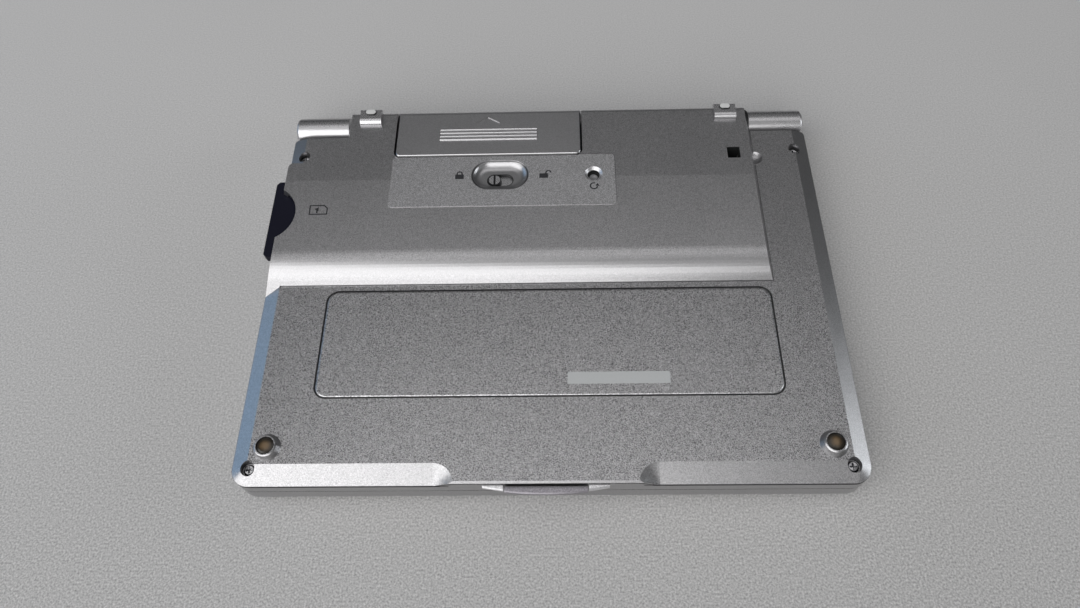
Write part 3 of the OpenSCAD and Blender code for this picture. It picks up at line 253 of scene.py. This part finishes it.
def satin_silver(f, shade, roughness=0.31, flake=1.30, relief=0.0, coarse=1.0, normal=None):
    """Sockets of a satin silver paint: its moulded grain lies on the level faces, the slopes are smoother."""
    flakes = f.cells(6800)
    grain = f.noise(6200, 1.0, 0.5)
    smudge = f.noise(38, 3.0, 0.6)
    level = f.step(abs(f.axis(2, f.facing)), 0.90, 0.99) * 0.68 + 0.32
    amount = level * coarse
    brightness = 1.0 + (flakes + grain - 1.0) * flake * amount + (smudge - 0.5) * 0.06
    height = (grain * 0.6 + flakes * 0.4) * amount + relief
    return {
        "colour": f.scaled((shade, shade * 0.988, shade * 1.004), brightness),
        "roughness": roughness + (flakes - 0.5) * amount * 0.10 + (smudge - 0.5) * 0.08,
        "metallic": METAL,
        "normal": f.bump(height, 1.0, GRAIN_DEPTH, normal),
    }


def door_paint():
    """Satin silver of the battery door, with painted shade in the gap round its three near edges."""
    f = Finish("door_silver")
    low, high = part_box("battery_cover")
    x, y = f.axis(0), f.axis(1)
    front = low.y + DOOR_HOOKS
    middle = Vector(((low.x + high.x) / 2, (front + high.y) / 2))
    half = ((high.x - low.x) / 2, (high.y - front) / 2)
    past = f.past_outline(x, y, middle, half, DOOR_CORNER)
    # Painted shade: a band inside the door's outline is darkened for the shade in the gap round it.
    gap = (past > -0.26 * MM) * (y < high.y - 1.5 * MM)
    paint = satin_silver(f, 0.50, flake=0.5, coarse=0.5)
    paint["colour"] = f.scaled(paint["colour"], 1.0 - gap * 0.85)
    return f.surface(**paint)


def barrel_paint():
    """Bright silver of the hinge barrels, which are turned round."""
    f = Finish("trim_silver")
    normal = f.round_about(HINGE_Y, HINGE_Z)
    return f.surface(**satin_silver(f, 0.55, roughness=0.29, flake=0.40, coarse=0.5, normal=normal))


def foot_paint():
    """Bright silver of the half-round rear feet."""
    f = Finish("foot_silver")
    low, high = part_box("rear_foot_left")
    normal = f.round_about(low.y + high.z - low.z, low.z, 0.0)
    return f.surface(**satin_silver(f, 0.58, roughness=0.28, flake=0.20, coarse=0.3, normal=normal))


def lid_paint():
    """Satin silver of the lid, a little darker on the finger tab."""
    f = Finish("case_silver")
    paint = satin_silver(f, 0.44, coarse=0.5)
    tint = f.mix(f.axis(1) < LIP_FRONT, rgb(1.0, 1.0, 1.0), rgb(0.78, 0.75, 0.80))
    product = {"operation": "MULTIPLY"}
    paint["colour"] = f.node("ShaderNodeVectorMath", product, {0: paint["colour"], 1: tint})
    return f.surface(**paint)


def past_plate(f, x, y):
    """How far a point lies outside the inset plate."""
    return f.past_outline(
        x, y, (plate_low + plate_high) / 2, (plate_high - plate_low) / 2, PLATE_CORNER
    )


def plate_paint():
    """Paint of the inset plate, with its broken edge."""
    f = Finish("plate_silver")
    edge = f.step(past_plate(f, f.axis(0), f.axis(1)), -0.34 * MM, 0.0)
    return f.surface(**satin_silver(f, 0.45, relief=edge * -4.4))


def deck_paint():
    """Paint of the keyboard half's side band, with painted shade in the seam under the cover and a painted
    highlight on the lip's wings.
    """
    f = Finish("deck_silver")
    paint = satin_silver(f, 0.44, coarse=0.45)
    # Painted highlight: the wings in front of the lip line are made lighter.
    wing_highlight = (f.axis(1) < LIP_FRONT) * 0.8
    beside = abs(f.axis(0) + 0.5 * MM) > WINGS_HALF
    # Painted shade: the band just under the cover's edge is darkened, beside the wings.
    seam = f.between(f.axis(2), FLAT - 2.80 * MM, FLAT - 2.25 * MM) * beside * 0.85
    paint["colour"] = f.scaled(paint["colour"], 1.0 - seam + wing_highlight)
    return f.surface(**paint)


def knob_paint():
    """Bright lock knob with painted shade in its slit and in the gap round it."""
    f = Finish("knob_silver")
    x, y = f.axis(0), f.axis(1)
    past = f.past_disc(x, y, KNOB, KNOB_RADIUS)
    rim = past > -0.24 * MM
    slit = abs(x - KNOB.x) < 0.27 * MM
    dark = f.clamp((rim + slit) * (past < 0.1 * MM))
    paint = satin_silver(f, 0.66, roughness=0.28, flake=0.10, coarse=0.3)
    # Painted shade: near black in the slit and in the gap round the knob's edge.
    paint["colour"] = f.mix(dark, paint["colour"], rgb(0.015, 0.015, 0.017))
    paint["metallic"] = METAL - dark * METAL
    return f.surface(**paint)


def from_screw(f, x, y):
    """Distances along x and y from the axis of the nearest case screw."""
    return abs(abs(x) - SCREW_X), f.smaller(abs(y - SCREW_FRONT), abs(y - SCREW_REAR))


def cover_gaps(f, x, y, z):
    """Where painted shade darkens the underside's cover: in its holes, its wells and the gaps round other
    parts.
    """
    hole = (f.past_outline(x, y, STRAP_HOLE, STRAP_HOLE_HALF, 0.0) < 0.0) * (z < TOP - 0.30 * MM)
    past_slot = f.past_outline(x, y, LOCK_SLOT, LOCK_SLOT_HALF, LOCK_SLOT_HALF[1])
    slot = f.between(past_slot, -0.1 * MM, 0.20 * MM)
    in_well = f.past_disc(x, y, RESET_WELL, RESET_RADIUS) < 0.0
    well = in_well * (z < PANEL_TOP - 0.68 * MM)
    round_plate = f.between(past_plate(f, x, y), -0.1 * MM, 0.46 * MM)
    groove = round_plate * f.between(z, FLAT - 1.0 * MM, FLAT - 0.12 * MM)
    seam = f.between(z, FLAT - 2.5 * MM, FLAT - 1.97 * MM)
    screw_well = f.length(*from_screw(f, x, y)) < SCREW_WELL
    return f.clamp(hole + slot + well + groove * 0.92 + seam * 0.85 + screw_well * 0.85)


def cover_paint():
    """Satin paint, finer on the housing and in the dish, lighter on the panel by a painted sheen, with
    painted shade round the dish, along the panel's right edge and in its gaps.
    """
    f = Finish("cover_silver")
    x, y, z = f.axis(0), f.axis(1), f.axis(2)
    past_panel = f.past_outline(x, y, PANEL, PANEL_HALF, PANEL_CORNER)
    past_dish = f.past_outline(x, y, LOCK_DISH, LOCK_DISH_HALF, LOCK_DISH_HALF[1])
    panel = (past_panel < 0.0) * (z < PANEL_TOP + 0.05 * MM)
    in_dish = past_dish < 0.0
    panel_face_sheen = panel * (1.0 - in_dish)
    housing = (z > FLAT + 2.0 * MM) * (1.0 - panel)
    strip = (z < FLAT + 2.0 * MM) * f.step(y, -10.0 * MM, 20.0 * MM)
    coarse = (1.0 - panel * 0.42 - housing * 0.55 - strip * 0.45) * (1.0 - in_dish * 0.8)
    # Painted shade: a thin band inside the dish's outline and along the panel's right edge is darkened.
    lip = f.between(past_dish, -0.42 * MM, -0.10 * MM) * 0.5
    ledge = f.between(past_panel, -0.16 * MM, 0.05 * MM) * (y > 22.4 * MM) * (x > 0.0) * 0.5
    dark = cover_gaps(f, x, y, z)
    # Near-black painted shade in the holes, wells and gaps; inside the strap hole it also stands for the
    # unpainted plastic there.
    bare_plastic_and_shade = f.scaled((0.012, 0.013, 0.013), 0.8 + f.noise(1800, 2.0, 0.5) * 0.4)
    paint = satin_silver(f, 0.44, coarse=coarse)
    # Painted sheen: the panel's face is made lighter for the light that its rougher texture catches.
    colour = f.scaled(paint["colour"], 1.0 + panel_face_sheen * 0.34 - lip - ledge)
    paint["colour"] = f.mix(dark, colour, bare_plastic_and_shade)
    paint["metallic"] = METAL - dark * METAL
    paint["roughness"] = paint["roughness"] + dark * 0.2 + panel_face_sheen * 0.10
    return f.surface(**paint)


# Steel, plastic, rubber, glass and print

def screw_steel():
    """Zinc-plated screw head with a cross, with painted shade round its edge and in its cross."""
    f = Finish("screw_steel")
    dx, dy = from_screw(f, f.axis(0), f.axis(1))
    away = f.length(dx, dy)
    lines = f.lines(6000, 6000, 400)
    # Painted shade: near black round the head's edge and in its cross recess.
    cross = (f.smaller(dx, dy) < 0.17 * MM) * (away < 0.85 * MM)
    edge = f.clamp(f.step(away, 0.85 * MM, 1.15 * MM) + cross * 0.9)
    colour = f.mix(edge, rgb(0.60, 0.60, 0.61), rgb(0.03, 0.03, 0.035))
    return f.surface(
        colour=f.scaled(colour, 0.9 + lines * 0.2),
        roughness=0.26 + lines * 0.15,
        metallic=1.0,
        normal=f.bump(lines, 0.3, 0.02 * MM),
    )


def plain_steel(name, shade, roughness):
    """Drawn steel with fine lines along x."""
    f = Finish(name)
    lines = f.lines(400, 6000, 6000)
    spots = f.noise(700, 2.0, 0.5)
    colour = f.scaled((shade, shade, shade * 1.01), 1.0 + (lines - 0.5) * 0.3 + (spots - 0.5) * 0.15)
    gloss = roughness + (lines - 0.5) * 0.2
    return f.surface(colour=colour, roughness=gloss, metallic=1.0, normal=f.bump(lines, 0.3, 0.02 * MM))


def moulded_plastic(name, colour, roughness, specular=0.5):
    """Spark-eroded plastic: fine pits, slight shade changes and worn shine."""
    f = Finish(name)
    pits = f.noise(2600, 3.0, 0.6)
    cloud = f.noise(60, 2.0, 0.5)
    shade = 1.0 + (cloud - 0.5) * 0.08 + (pits - 0.5) * 0.08
    return f.surface(
        colour=f.scaled(colour, shade),
        roughness=roughness + (cloud - 0.5) * 0.12,
        specular=specular,
        normal=f.bump(pits, 0.35, 0.02 * MM),
    )


def rubber(name, colour, roughness):
    """Soft rubber, dusty in its pores."""
    f = Finish(name)
    pores = f.noise(3200, 3.0, 0.7)
    dust = f.noise(420, 4.0, 0.65)
    return f.surface(
        colour=f.mix(f.step(dust, 0.52, 0.75) * 0.35, rgb(*colour), rgb(0.20, 0.19, 0.17)),
        roughness=roughness + (pores - 0.5) * 0.15,
        normal=f.bump(pores, 0.5, 0.03 * MM),
    )


def brown_pad():
    """Smooth brown rubber disc with a dull skin of dust, lighter brown in its middle and darkening towards
    its rim: painted shade at the edge of its recess.
    """
    f = Finish("pad_brown")
    away = f.length(abs(f.axis(0)) - FOOT.x, f.axis(1) - FOOT.y)
    dust = f.noise(700, 3.0, 0.6)
    # Painted shade: the pad's colour darkens towards its rim.
    pad_rim_shade = f.step(away + (dust - 0.5) * (0.8 * MM), 0.3 * MM, 1.6 * MM)
    return f.surface(
        colour=f.mix(pad_rim_shade, rgb(0.150, 0.098, 0.050), rgb(0.022, 0.018, 0.013)),
        roughness=0.20 + (dust - 0.5) * 0.2,
        normal=f.bump(dust, 0.3, 0.03 * MM),
    )


def pale_pad():
    """Pale oval pad with painted shade on the step round it."""
    f = Finish("pad_light")
    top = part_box("rear_pad_left")[1].z
    dust = f.noise(500, 3.0, 0.6)
    face = f.step(f.axis(2), top - 0.12 * MM, top - 0.06 * MM)
    # Painted shade: the pad is near black below its top face, on the step round it.
    colour = f.mix(face, rgb(0.02, 0.02, 0.02), rgb(0.66, 0.66, 0.65))
    return f.surface(colour=f.scaled(colour, 0.9 + dust * 0.2), roughness=0.32 + (dust - 0.5) * 0.15)


def clear_window():
    """Clear display window with a light tint."""
    f = Finish("window_clear")
    streak = f.noise(55, 2.0, 0.5)
    return f.surface(
        colour=rgb(0.86, 0.90, 0.86),
        roughness=0.03 + (streak - 0.5) * 0.03,
        transmission=1.0,
        ior=1.49,
        alpha=0.45,
    )


def liquid_crystal():
    """Gray-green glass with a faint dot matrix."""
    f = Finish("lcd_green")
    pitch = 0.33 * MM
    columns = f.math("PINGPONG", f.axis(0), pitch) * (1 / pitch)
    rows = f.math("PINGPONG", f.axis(1), pitch) * (1 / pitch)
    grid = f.step(columns, 0.05, 0.20) * f.step(rows, 0.05, 0.20)
    cloud = f.noise(30, 2.0, 0.5)
    colour = f.mix(grid, rgb(0.20, 0.25, 0.19), rgb(0.27, 0.33, 0.25))
    return f.surface(colour=f.scaled(colour, 1.0 + (cloud - 0.5) * 0.10), roughness=0.22 + cloud * 0.06)


def circuit_board():
    """Green solder mask over copper runs."""
    f = Finish("board_green")
    bricks = {"Vector": f.place, "Scale": 520.0, "Mortar Size": 0.09}
    runs = f.node("ShaderNodeTexBrick", {"offset": 0.5}, bricks, out="Fac")
    grain = f.noise(1400, 2.0, 0.5)
    colour = f.mix(runs, rgb(0.018, 0.12, 0.055), rgb(0.05, 0.24, 0.11))
    return f.surface(
        colour=f.scaled(colour, 0.92 + grain * 0.16),
        roughness=0.34 + grain * 0.1,
        normal=f.bump(runs, 0.4, 0.03 * MM),
    )


def cell_sleeve():
    """Printed sleeve of a cell: a dark half and a copper half, with the bare metal ends."""
    f = Finish("cell_wrap")
    low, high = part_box("cell_left")
    length = high.x - low.x
    along = f.node("ShaderNodeMath", {"operation": "WRAP"}, {0: f.axis(0) - low.x, 1: length, 2: 0.0})
    copper = f.step(along, length * 0.70, length * 0.705)
    end = f.step(along, length * 0.965, length * 0.97)
    scratch = f.lines(300, 4000, 4000)
    colour = f.mix(copper, rgb(0.030, 0.032, 0.036), rgb(0.48, 0.26, 0.10))
    colour = f.mix(end, colour, rgb(0.60, 0.60, 0.60))
    return f.surface(
        colour=f.scaled(colour, 0.93 + scratch * 0.14),
        roughness=0.30 + scratch * 0.08,
        metallic=copper * 0.8 + 0.1,
    )


def print_ink():
    """Pad-printed ink, slightly worn."""
    f = Finish("mark_ink")
    wear = f.noise(1600, 3.0, 0.6)
    shade = f.mix(f.step(wear, 0.62, 0.80) * 0.5, rgb(0.022, 0.022, 0.025), rgb(0.16, 0.16, 0.16))
    return f.surface(colour=shade, roughness=0.55 + (wear - 0.5) * 0.2)


def pale_foil():
    """Pale foil sticker with a dull sheen."""
    f = Finish("sticker_foil")
    fibre = f.noise(1900, 3.0, 0.6)
    return f.surface(
        colour=f.scaled((0.52, 0.53, 0.53), 0.94 + fibre * 0.12),
        roughness=0.42 + fibre * 0.1,
        metallic=0.25,
        normal=f.bump(fibre, 0.25, 0.01 * MM),
    )


def give(material, *names):
    for name in names:
        slots = nodes[name].data.materials
        slots.clear()
        slots.append(material)


def both(*names):
    """The left and the right node of each name."""
    return [f"{name}_{side}" for name in names for side in ("left", "right")]


give(cover_paint(), "bottom_cover")
give(deck_paint(), "keyboard_deck")
give(lid_paint(), "lid_shell")
give(door_paint(), "battery_cover")
give(plate_paint(), "label_plate")
give(barrel_paint(), *both("hinge_barrel"))
give(foot_paint(), *both("rear_foot"))
give(knob_paint(), "battery_lock")
give(moulded_plastic("button_gray", (0.26, 0.26, 0.27), 0.45), "reset_button")
give(moulded_plastic("frame_gray", (0.055, 0.058, 0.062), 0.5), "lid_bezel")
give(clear_window(), "display_window")
give(liquid_crystal(), "lcd_panel")
give(moulded_plastic("carrier_white", (0.62, 0.60, 0.55), 0.5), "lcd_carrier")
give(circuit_board(), "lcd_board", "main_board", "key_board")
give(moulded_plastic("chip_black", (0.02, 0.02, 0.022), 0.55), "board_chips")
steel_nodes = ["lid_screws", "contact_spring", "contact_plate", "card_socket"]
give(plain_steel("steel", 0.55, 0.30), *steel_nodes, *both("hinge_unit", "hinge_shaft", "hinge_holder"))
give(screw_steel(), "case_screws")
give(rubber("rubber_black", (0.015, 0.015, 0.015), 0.75), "lid_bumpers")
give(rubber("rubber_sheet", (0.42, 0.43, 0.43), 0.6), "keypad_sheet")
give(brown_pad(), *both("foot_pad"))
give(pale_pad(), *both("rear_pad"))
give(cell_sleeve(), *both("cell"))
give(moulded_plastic("card_black", (0.006, 0.006, 0.014), 0.45, specular=0.18), "memory_card")
give(moulded_plastic("cable_black", (0.010, 0.010, 0.010), 0.35), "display_cable")
give(moulded_plastic("speaker_dark", (0.06, 0.06, 0.06), 0.5), "speaker")
key_nodes = [name for name in nodes if name.startswith("keys_")] + ["power_key", "cursor_ring", "enter_key"]
give(moulded_plastic("key_light", (0.55, 0.56, 0.57), 0.42), *key_nodes)


# Printed marks and the sticker

class Stencil:
    """Flat shapes on one sheet, which is then given the thickness of a print."""

    def __init__(self):
        self.sheet = bmesh.new()

    def bar(self, x, y, width, height, turn=0.0):
        place = Matrix.Translation((x, y, 0)) @ Matrix.Rotation(turn, 4, "Z")
        place = place @ Matrix.Diagonal((width, height, 1, 1))
        bmesh.ops.create_grid(self.sheet, x_segments=1, y_segments=1, size=0.5, matrix=place)

    def disc(self, x, y, radius, sides=24, turn=0.0):
        place = Matrix.Translation((x, y, 0)) @ Matrix.Rotation(turn, 4, "Z")
        bmesh.ops.create_circle(self.sheet, cap_ends=True, radius=radius, segments=sides, matrix=place)

    def arc(self, x, y, radius, width, start=0.0, sweep=math.tau, steps=28):
        centre = Vector((x, y, 0))
        outwards = Vector((math.cos(start), math.sin(start), 0))
        ends = [self.sheet.verts.new(centre + outwards * (radius + side * width / 2)) for side in (-1, 1)]
        edge = self.sheet.edges.new(ends)
        bmesh.ops.spin(
            self.sheet, geom=[*ends, edge], cent=centre, axis=(0, 0, 1), dvec=(0, 0, 0), angle=sweep,
            steps=steps, use_merge=sweep == math.tau, use_normal_flip=False, use_duplicate=False
        )

    def cut_corner_outline(self, x, y, width, height, cut, line):
        """Outline of a card with one cut corner. It is drawn before any other shape."""
        self.bar(x, y, width, height)
        corner = max(self.sheet.verts, key=lambda v: v.co.x + v.co.y)
        bmesh.ops.bevel(
            self.sheet, geom=[corner], offset=cut, affect="VERTICES", segments=1, profile=0.5, material=-1
        )
        self.sheet.faces.ensure_lookup_table()
        middle = self.sheet.faces[0]
        bmesh.ops.inset_region(
            self.sheet, faces=[middle], thickness=line, use_even_offset=True, use_boundary=True
        )
        bmesh.ops.delete(self.sheet, geom=[middle], context="FACES_ONLY")

    def piece(self, name, low, ink, body, slot, tilt=0.0, tilt_y=0.0, thickness=PRINT):
        """The finished print with its lowest side at the height low."""
        bmesh.ops.solidify(self.sheet, geom=self.sheet.faces[:], thickness=thickness)
        bmesh.ops.recalc_face_normals(self.sheet, faces=self.sheet.faces[:])
        lift = low - min(v.co.z for v in self.sheet.verts)
        bmesh.ops.translate(self.sheet, verts=self.sheet.verts[:], vec=(0, 0, lift))
        bmesh.ops.rotate(
            self.sheet, verts=self.sheet.verts[:], cent=(0, tilt_y, low), matrix=Matrix.Rotation(tilt, 3, "X")
        )
        made = new_object(name, self.sheet, ink)
        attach(made, body)


def new_object(name, sheet, material):
    """Object made of a finished sheet, in the scene."""
    mesh = bpy.data.meshes.new(name)
    sheet.to_mesh(mesh)
    sheet.free()
    mesh.materials.append(material)
    made = bpy.data.objects.new(name, mesh)
    bpy.context.scene.collection.objects.link(made)
    return made


def padlock(x, y, is_open):
    mark = Stencil()
    mark.bar(x, y - 0.55 * MM, 2.3 * MM, 1.5 * MM)
    bow_x = x + (1.25 * MM if is_open else 0.0)
    bow_radius = 0.66 * MM
    bow_width = 0.36 * MM
    mark.arc(bow_x, y + 0.45 * MM, bow_radius, bow_width, 0.0, math.pi, 14)
    legs = (-1,) if is_open else (-1, 1)
    for side in legs:
        mark.bar(bow_x + side * bow_radius, y + 0.31 * MM, bow_width, 0.30 * MM)
    return mark


def restart_arrow(x, y):
    mark = Stencil()
    mark.arc(x, y, 0.95 * MM, 0.36 * MM, math.radians(70), math.radians(280), 26)
    mark.disc(x + 0.94 * MM, y + 0.30 * MM, 0.62 * MM, 3)
    return mark


def card_sign(x, y):
    mark = Stencil()
    mark.cut_corner_outline(x, y, 4.9 * MM, 3.0 * MM, 0.95 * MM, 0.32 * MM)
    mark.disc(x - 0.35 * MM, y + 0.22 * MM, 0.72 * MM, 3, math.radians(90))
    mark.bar(x - 0.35 * MM, y - 0.55 * MM, 0.42 * MM, 0.9 * MM)
    return mark


ink = print_ink()
LOCK_SIGNS_Y = 31.9 * MM
CARD_SIGN_Y = 21.3 * MM
CARD_SIGN_Z = TOP - (FOLD_Y - CARD_SIGN_Y) * math.tan(INCLINE)
closed_sign = padlock(-23.4 * MM, LOCK_SIGNS_Y, False)
open_sign = padlock(-0.9 * MM, LOCK_SIGNS_Y, True)
restart_sign = restart_arrow(12.35 * MM, 27.7 * MM)
card_outline = card_sign(-60.0 * MM, CARD_SIGN_Y)
closed_sign.piece("lock_mark", PANEL_TOP, ink, "base", "rubber_black")
open_sign.piece("unlock_mark", PANEL_TOP, ink, "base", "rubber_black")
restart_sign.piece("restart_mark", PANEL_TOP, ink, "base", "rubber_black")
card_outline.piece("card_mark", CARD_SIGN_Z, ink, "base", "rubber_black", INCLINE, CARD_SIGN_Y)
sticker = Stencil()
sticker.bar(16.85 * MM, -25.2 * MM, 24.3 * MM, 3.1 * MM)
sticker.piece("number_sticker", plate_high.z, pale_foil(), "base", "trim_silver", thickness=0.05 * MM)

# Plain legends on the keys: how many keys a row has and how wide one is
KEY_ROWS = {
    "keys_function": (6, 13.7 * MM),
    "keys_index": (8, 13.7 * MM),
    "keys_number": (10, 11.1 * MM),
    "keys_upper": (10, 11.1 * MM),
    "keys_middle": (10, 11.1 * MM),
    "keys_lower": (8, 11.1 * MM),
    "keys_bottom": (8, 11.1 * MM),
    "keys_space": (5, 16.3 * MM),
    "power_key": (1, 11.1 * MM),
}
SIGN_KINDS = 7


def legend(mark, kind, x, y):
    """One of seven plain signs, in the middle of a key."""
    if kind == 0:
        mark.arc(x, y, 0.85 * MM, 0.30 * MM)
    elif kind == 1:
        mark.bar(x, y, 2.0 * MM, 0.32 * MM)
    elif kind == 2:
        mark.bar(x, y + 0.45 * MM, 1.9 * MM, 0.30 * MM)
        mark.bar(x, y - 0.45 * MM, 1.9 * MM, 0.30 * MM)
    elif kind == 3:
        mark.disc(x, y, 0.95 * MM, 3)
    elif kind == 4:
        mark.bar(x, y, 1.4 * MM, 1.4 * MM, math.pi / 4)
    elif kind == 5:
        mark.disc(x, y, 0.62 * MM)
    else:
        mark.bar(x, y, 0.32 * MM, 1.8 * MM)
        mark.bar(x - 0.55 * MM, y, 0.78 * MM, 0.32 * MM)
        mark.bar(x + 0.55 * MM, y, 0.78 * MM, 0.32 * MM)


for row, (node, (count, width)) in enumerate(KEY_ROWS.items()):
    low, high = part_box(node)
    mark = Stencil()
    pitch = (high.x - low.x - width) / max(count - 1, 1)
    for i in range(count):
        kind = (3 * row + 2 * i) % SIGN_KINDS
        legend(mark, kind, low.x + width / 2 + i * pitch, (low.y + high.y) / 2)
    mark.piece(f"{node}_legends", low.z - PRINT, ink, node, "rubber_black")


# Plain soft studio: floor, world, camera and lamps

def floor_finish():
    """Pale table, lighter towards the rear by a painted sheen, with a fine speck near the object, and a pale
    glow far away that lights nothing.
    """
    f = Finish("floor_pale")
    x, y = f.axis(0), f.axis(1)
    speck = f.noise(2100, 1.0, 0.6)
    cloud = f.noise(9, 3.0, 0.5)
    near = f.clamp(y * -3.0 + 0.6) * 1.7
    # Painted sheen: the table's colour grows lighter towards the rear.
    rear_sheen = f.larger(f.smaller(y, 0.2), -0.2)
    shade = 1.0 + rear_sheen * 1.2 + (cloud - 0.5) * 0.08 + (speck - 0.5) * near
    seen = f.node("ShaderNodeLightPath", out="Is Camera Ray")
    seen = seen + f.node("ShaderNodeLightPath", out="Is Glossy Ray")
    seen = f.clamp(seen + f.node("ShaderNodeLightPath", out="Is Transmission Ray"))
    pale = seen * f.step(f.length(x, y), 0.35, 2.2) * 0.30
    return f.surface(
        colour=f.scaled((0.490, 0.483, 0.478), shade),
        roughness=0.55,
        normal=f.bump(speck, 0.2, 0.05 * MM),
        glow=f.scaled((1.0, 0.99, 0.98), pale),
        glow_strength=1.0,
    )


def make_floor():
    sheet = bmesh.new()
    bmesh.ops.create_grid(sheet, x_segments=1, y_segments=1, size=12.0)
    new_object("floor", sheet, floor_finish())


def make_world():
    world = bpy.data.worlds.new("studio")
    bpy.context.scene.world = world
    world.use_nodes = True
    background = world.node_tree.nodes["Background"]
    background.inputs["Color"].default_value = rgb(0.98, 1.0, 1.03)
    background.inputs["Strength"].default_value = 0.06


def make_camera():
    level_part = math.cos(ELEVATION)
    forward = Vector((math.sin(YAW) * level_part, math.cos(YAW) * level_part, -math.sin(ELEVATION)))
    level = forward.cross(Vector((0, 0, 1))).normalized()
    upright = level.cross(forward)
    right = level * math.cos(ROLL) + upright * math.sin(ROLL)
    up = upright * math.cos(ROLL) - level * math.sin(ROLL)
    data = bpy.data.cameras.new("photo_camera")
    data.sensor_fit = "HORIZONTAL"
    data.sensor_width = SENSOR_WIDTH
    data.lens = SENSOR_WIDTH * FOCAL_PIXELS / PHOTO_WIDTH
    data.clip_start = 0.005
    camera = bpy.data.objects.new("photo_camera", data)
    bpy.context.scene.collection.objects.link(camera)
    turn = Matrix((right, up, -forward)).transposed().to_4x4()
    camera.matrix_world = Matrix.Translation(CAMERA_AT) @ turn
    bpy.context.scene.camera = camera


def make_lamp(name, azimuth, height, distance, size, brightness, colour=(1.0, 1.0, 1.0)):
    """Soft box aimed at the object. Azimuth 0 is in front of it and 90 on its right, in degrees."""
    turn = math.radians(azimuth)
    up = math.radians(height)
    away = Vector((math.sin(turn) * math.cos(up), -math.cos(turn) * math.cos(up), math.sin(up)))
    lamp = bpy.data.lights.new(name, "AREA")
    lamp.shape = "RECTANGLE"
    lamp.size, lamp.size_y = size
    lamp.color = colour
    lamp.energy = brightness * 4 * size[0] * size[1]
    holder = bpy.data.objects.new(name, lamp)
    bpy.context.scene.collection.objects.link(holder)
    holder.location = away * distance
    holder.rotation_euler = (-away).to_track_quat("-Z", "Y").to_euler()


make_floor()
make_world()
make_camera()
make_lamp("window_front_left", -36, 40, 1.2, (2.0, 1.15), 1.80)
make_lamp("ceiling", 180, 80.5, 1.34, (1.25, 0.74), 0.67, (1.0, 0.995, 1.0))
make_lamp("ceiling_front", -10, 72, 1.3, (1.6, 0.36), 0.38)
make_lamp("ceiling_rear", 180, 45, 1.4, (2.0, 0.8), 0.09)
make_lamp("wall_left", -104, 15, 1.4, (1.0, 0.6), 0.48, (0.57, 0.93, 1.38))
make_lamp("wall_right", 91, 15, 1.4, (0.84, 0.4), 2.6, (0.96, 1.0, 1.03))
make_lamp("fill_front_right", 52, 32, 1.6, (1.2, 1.0), 0.16)
bpy.context.scene.view_settings.view_transform = "Standard"
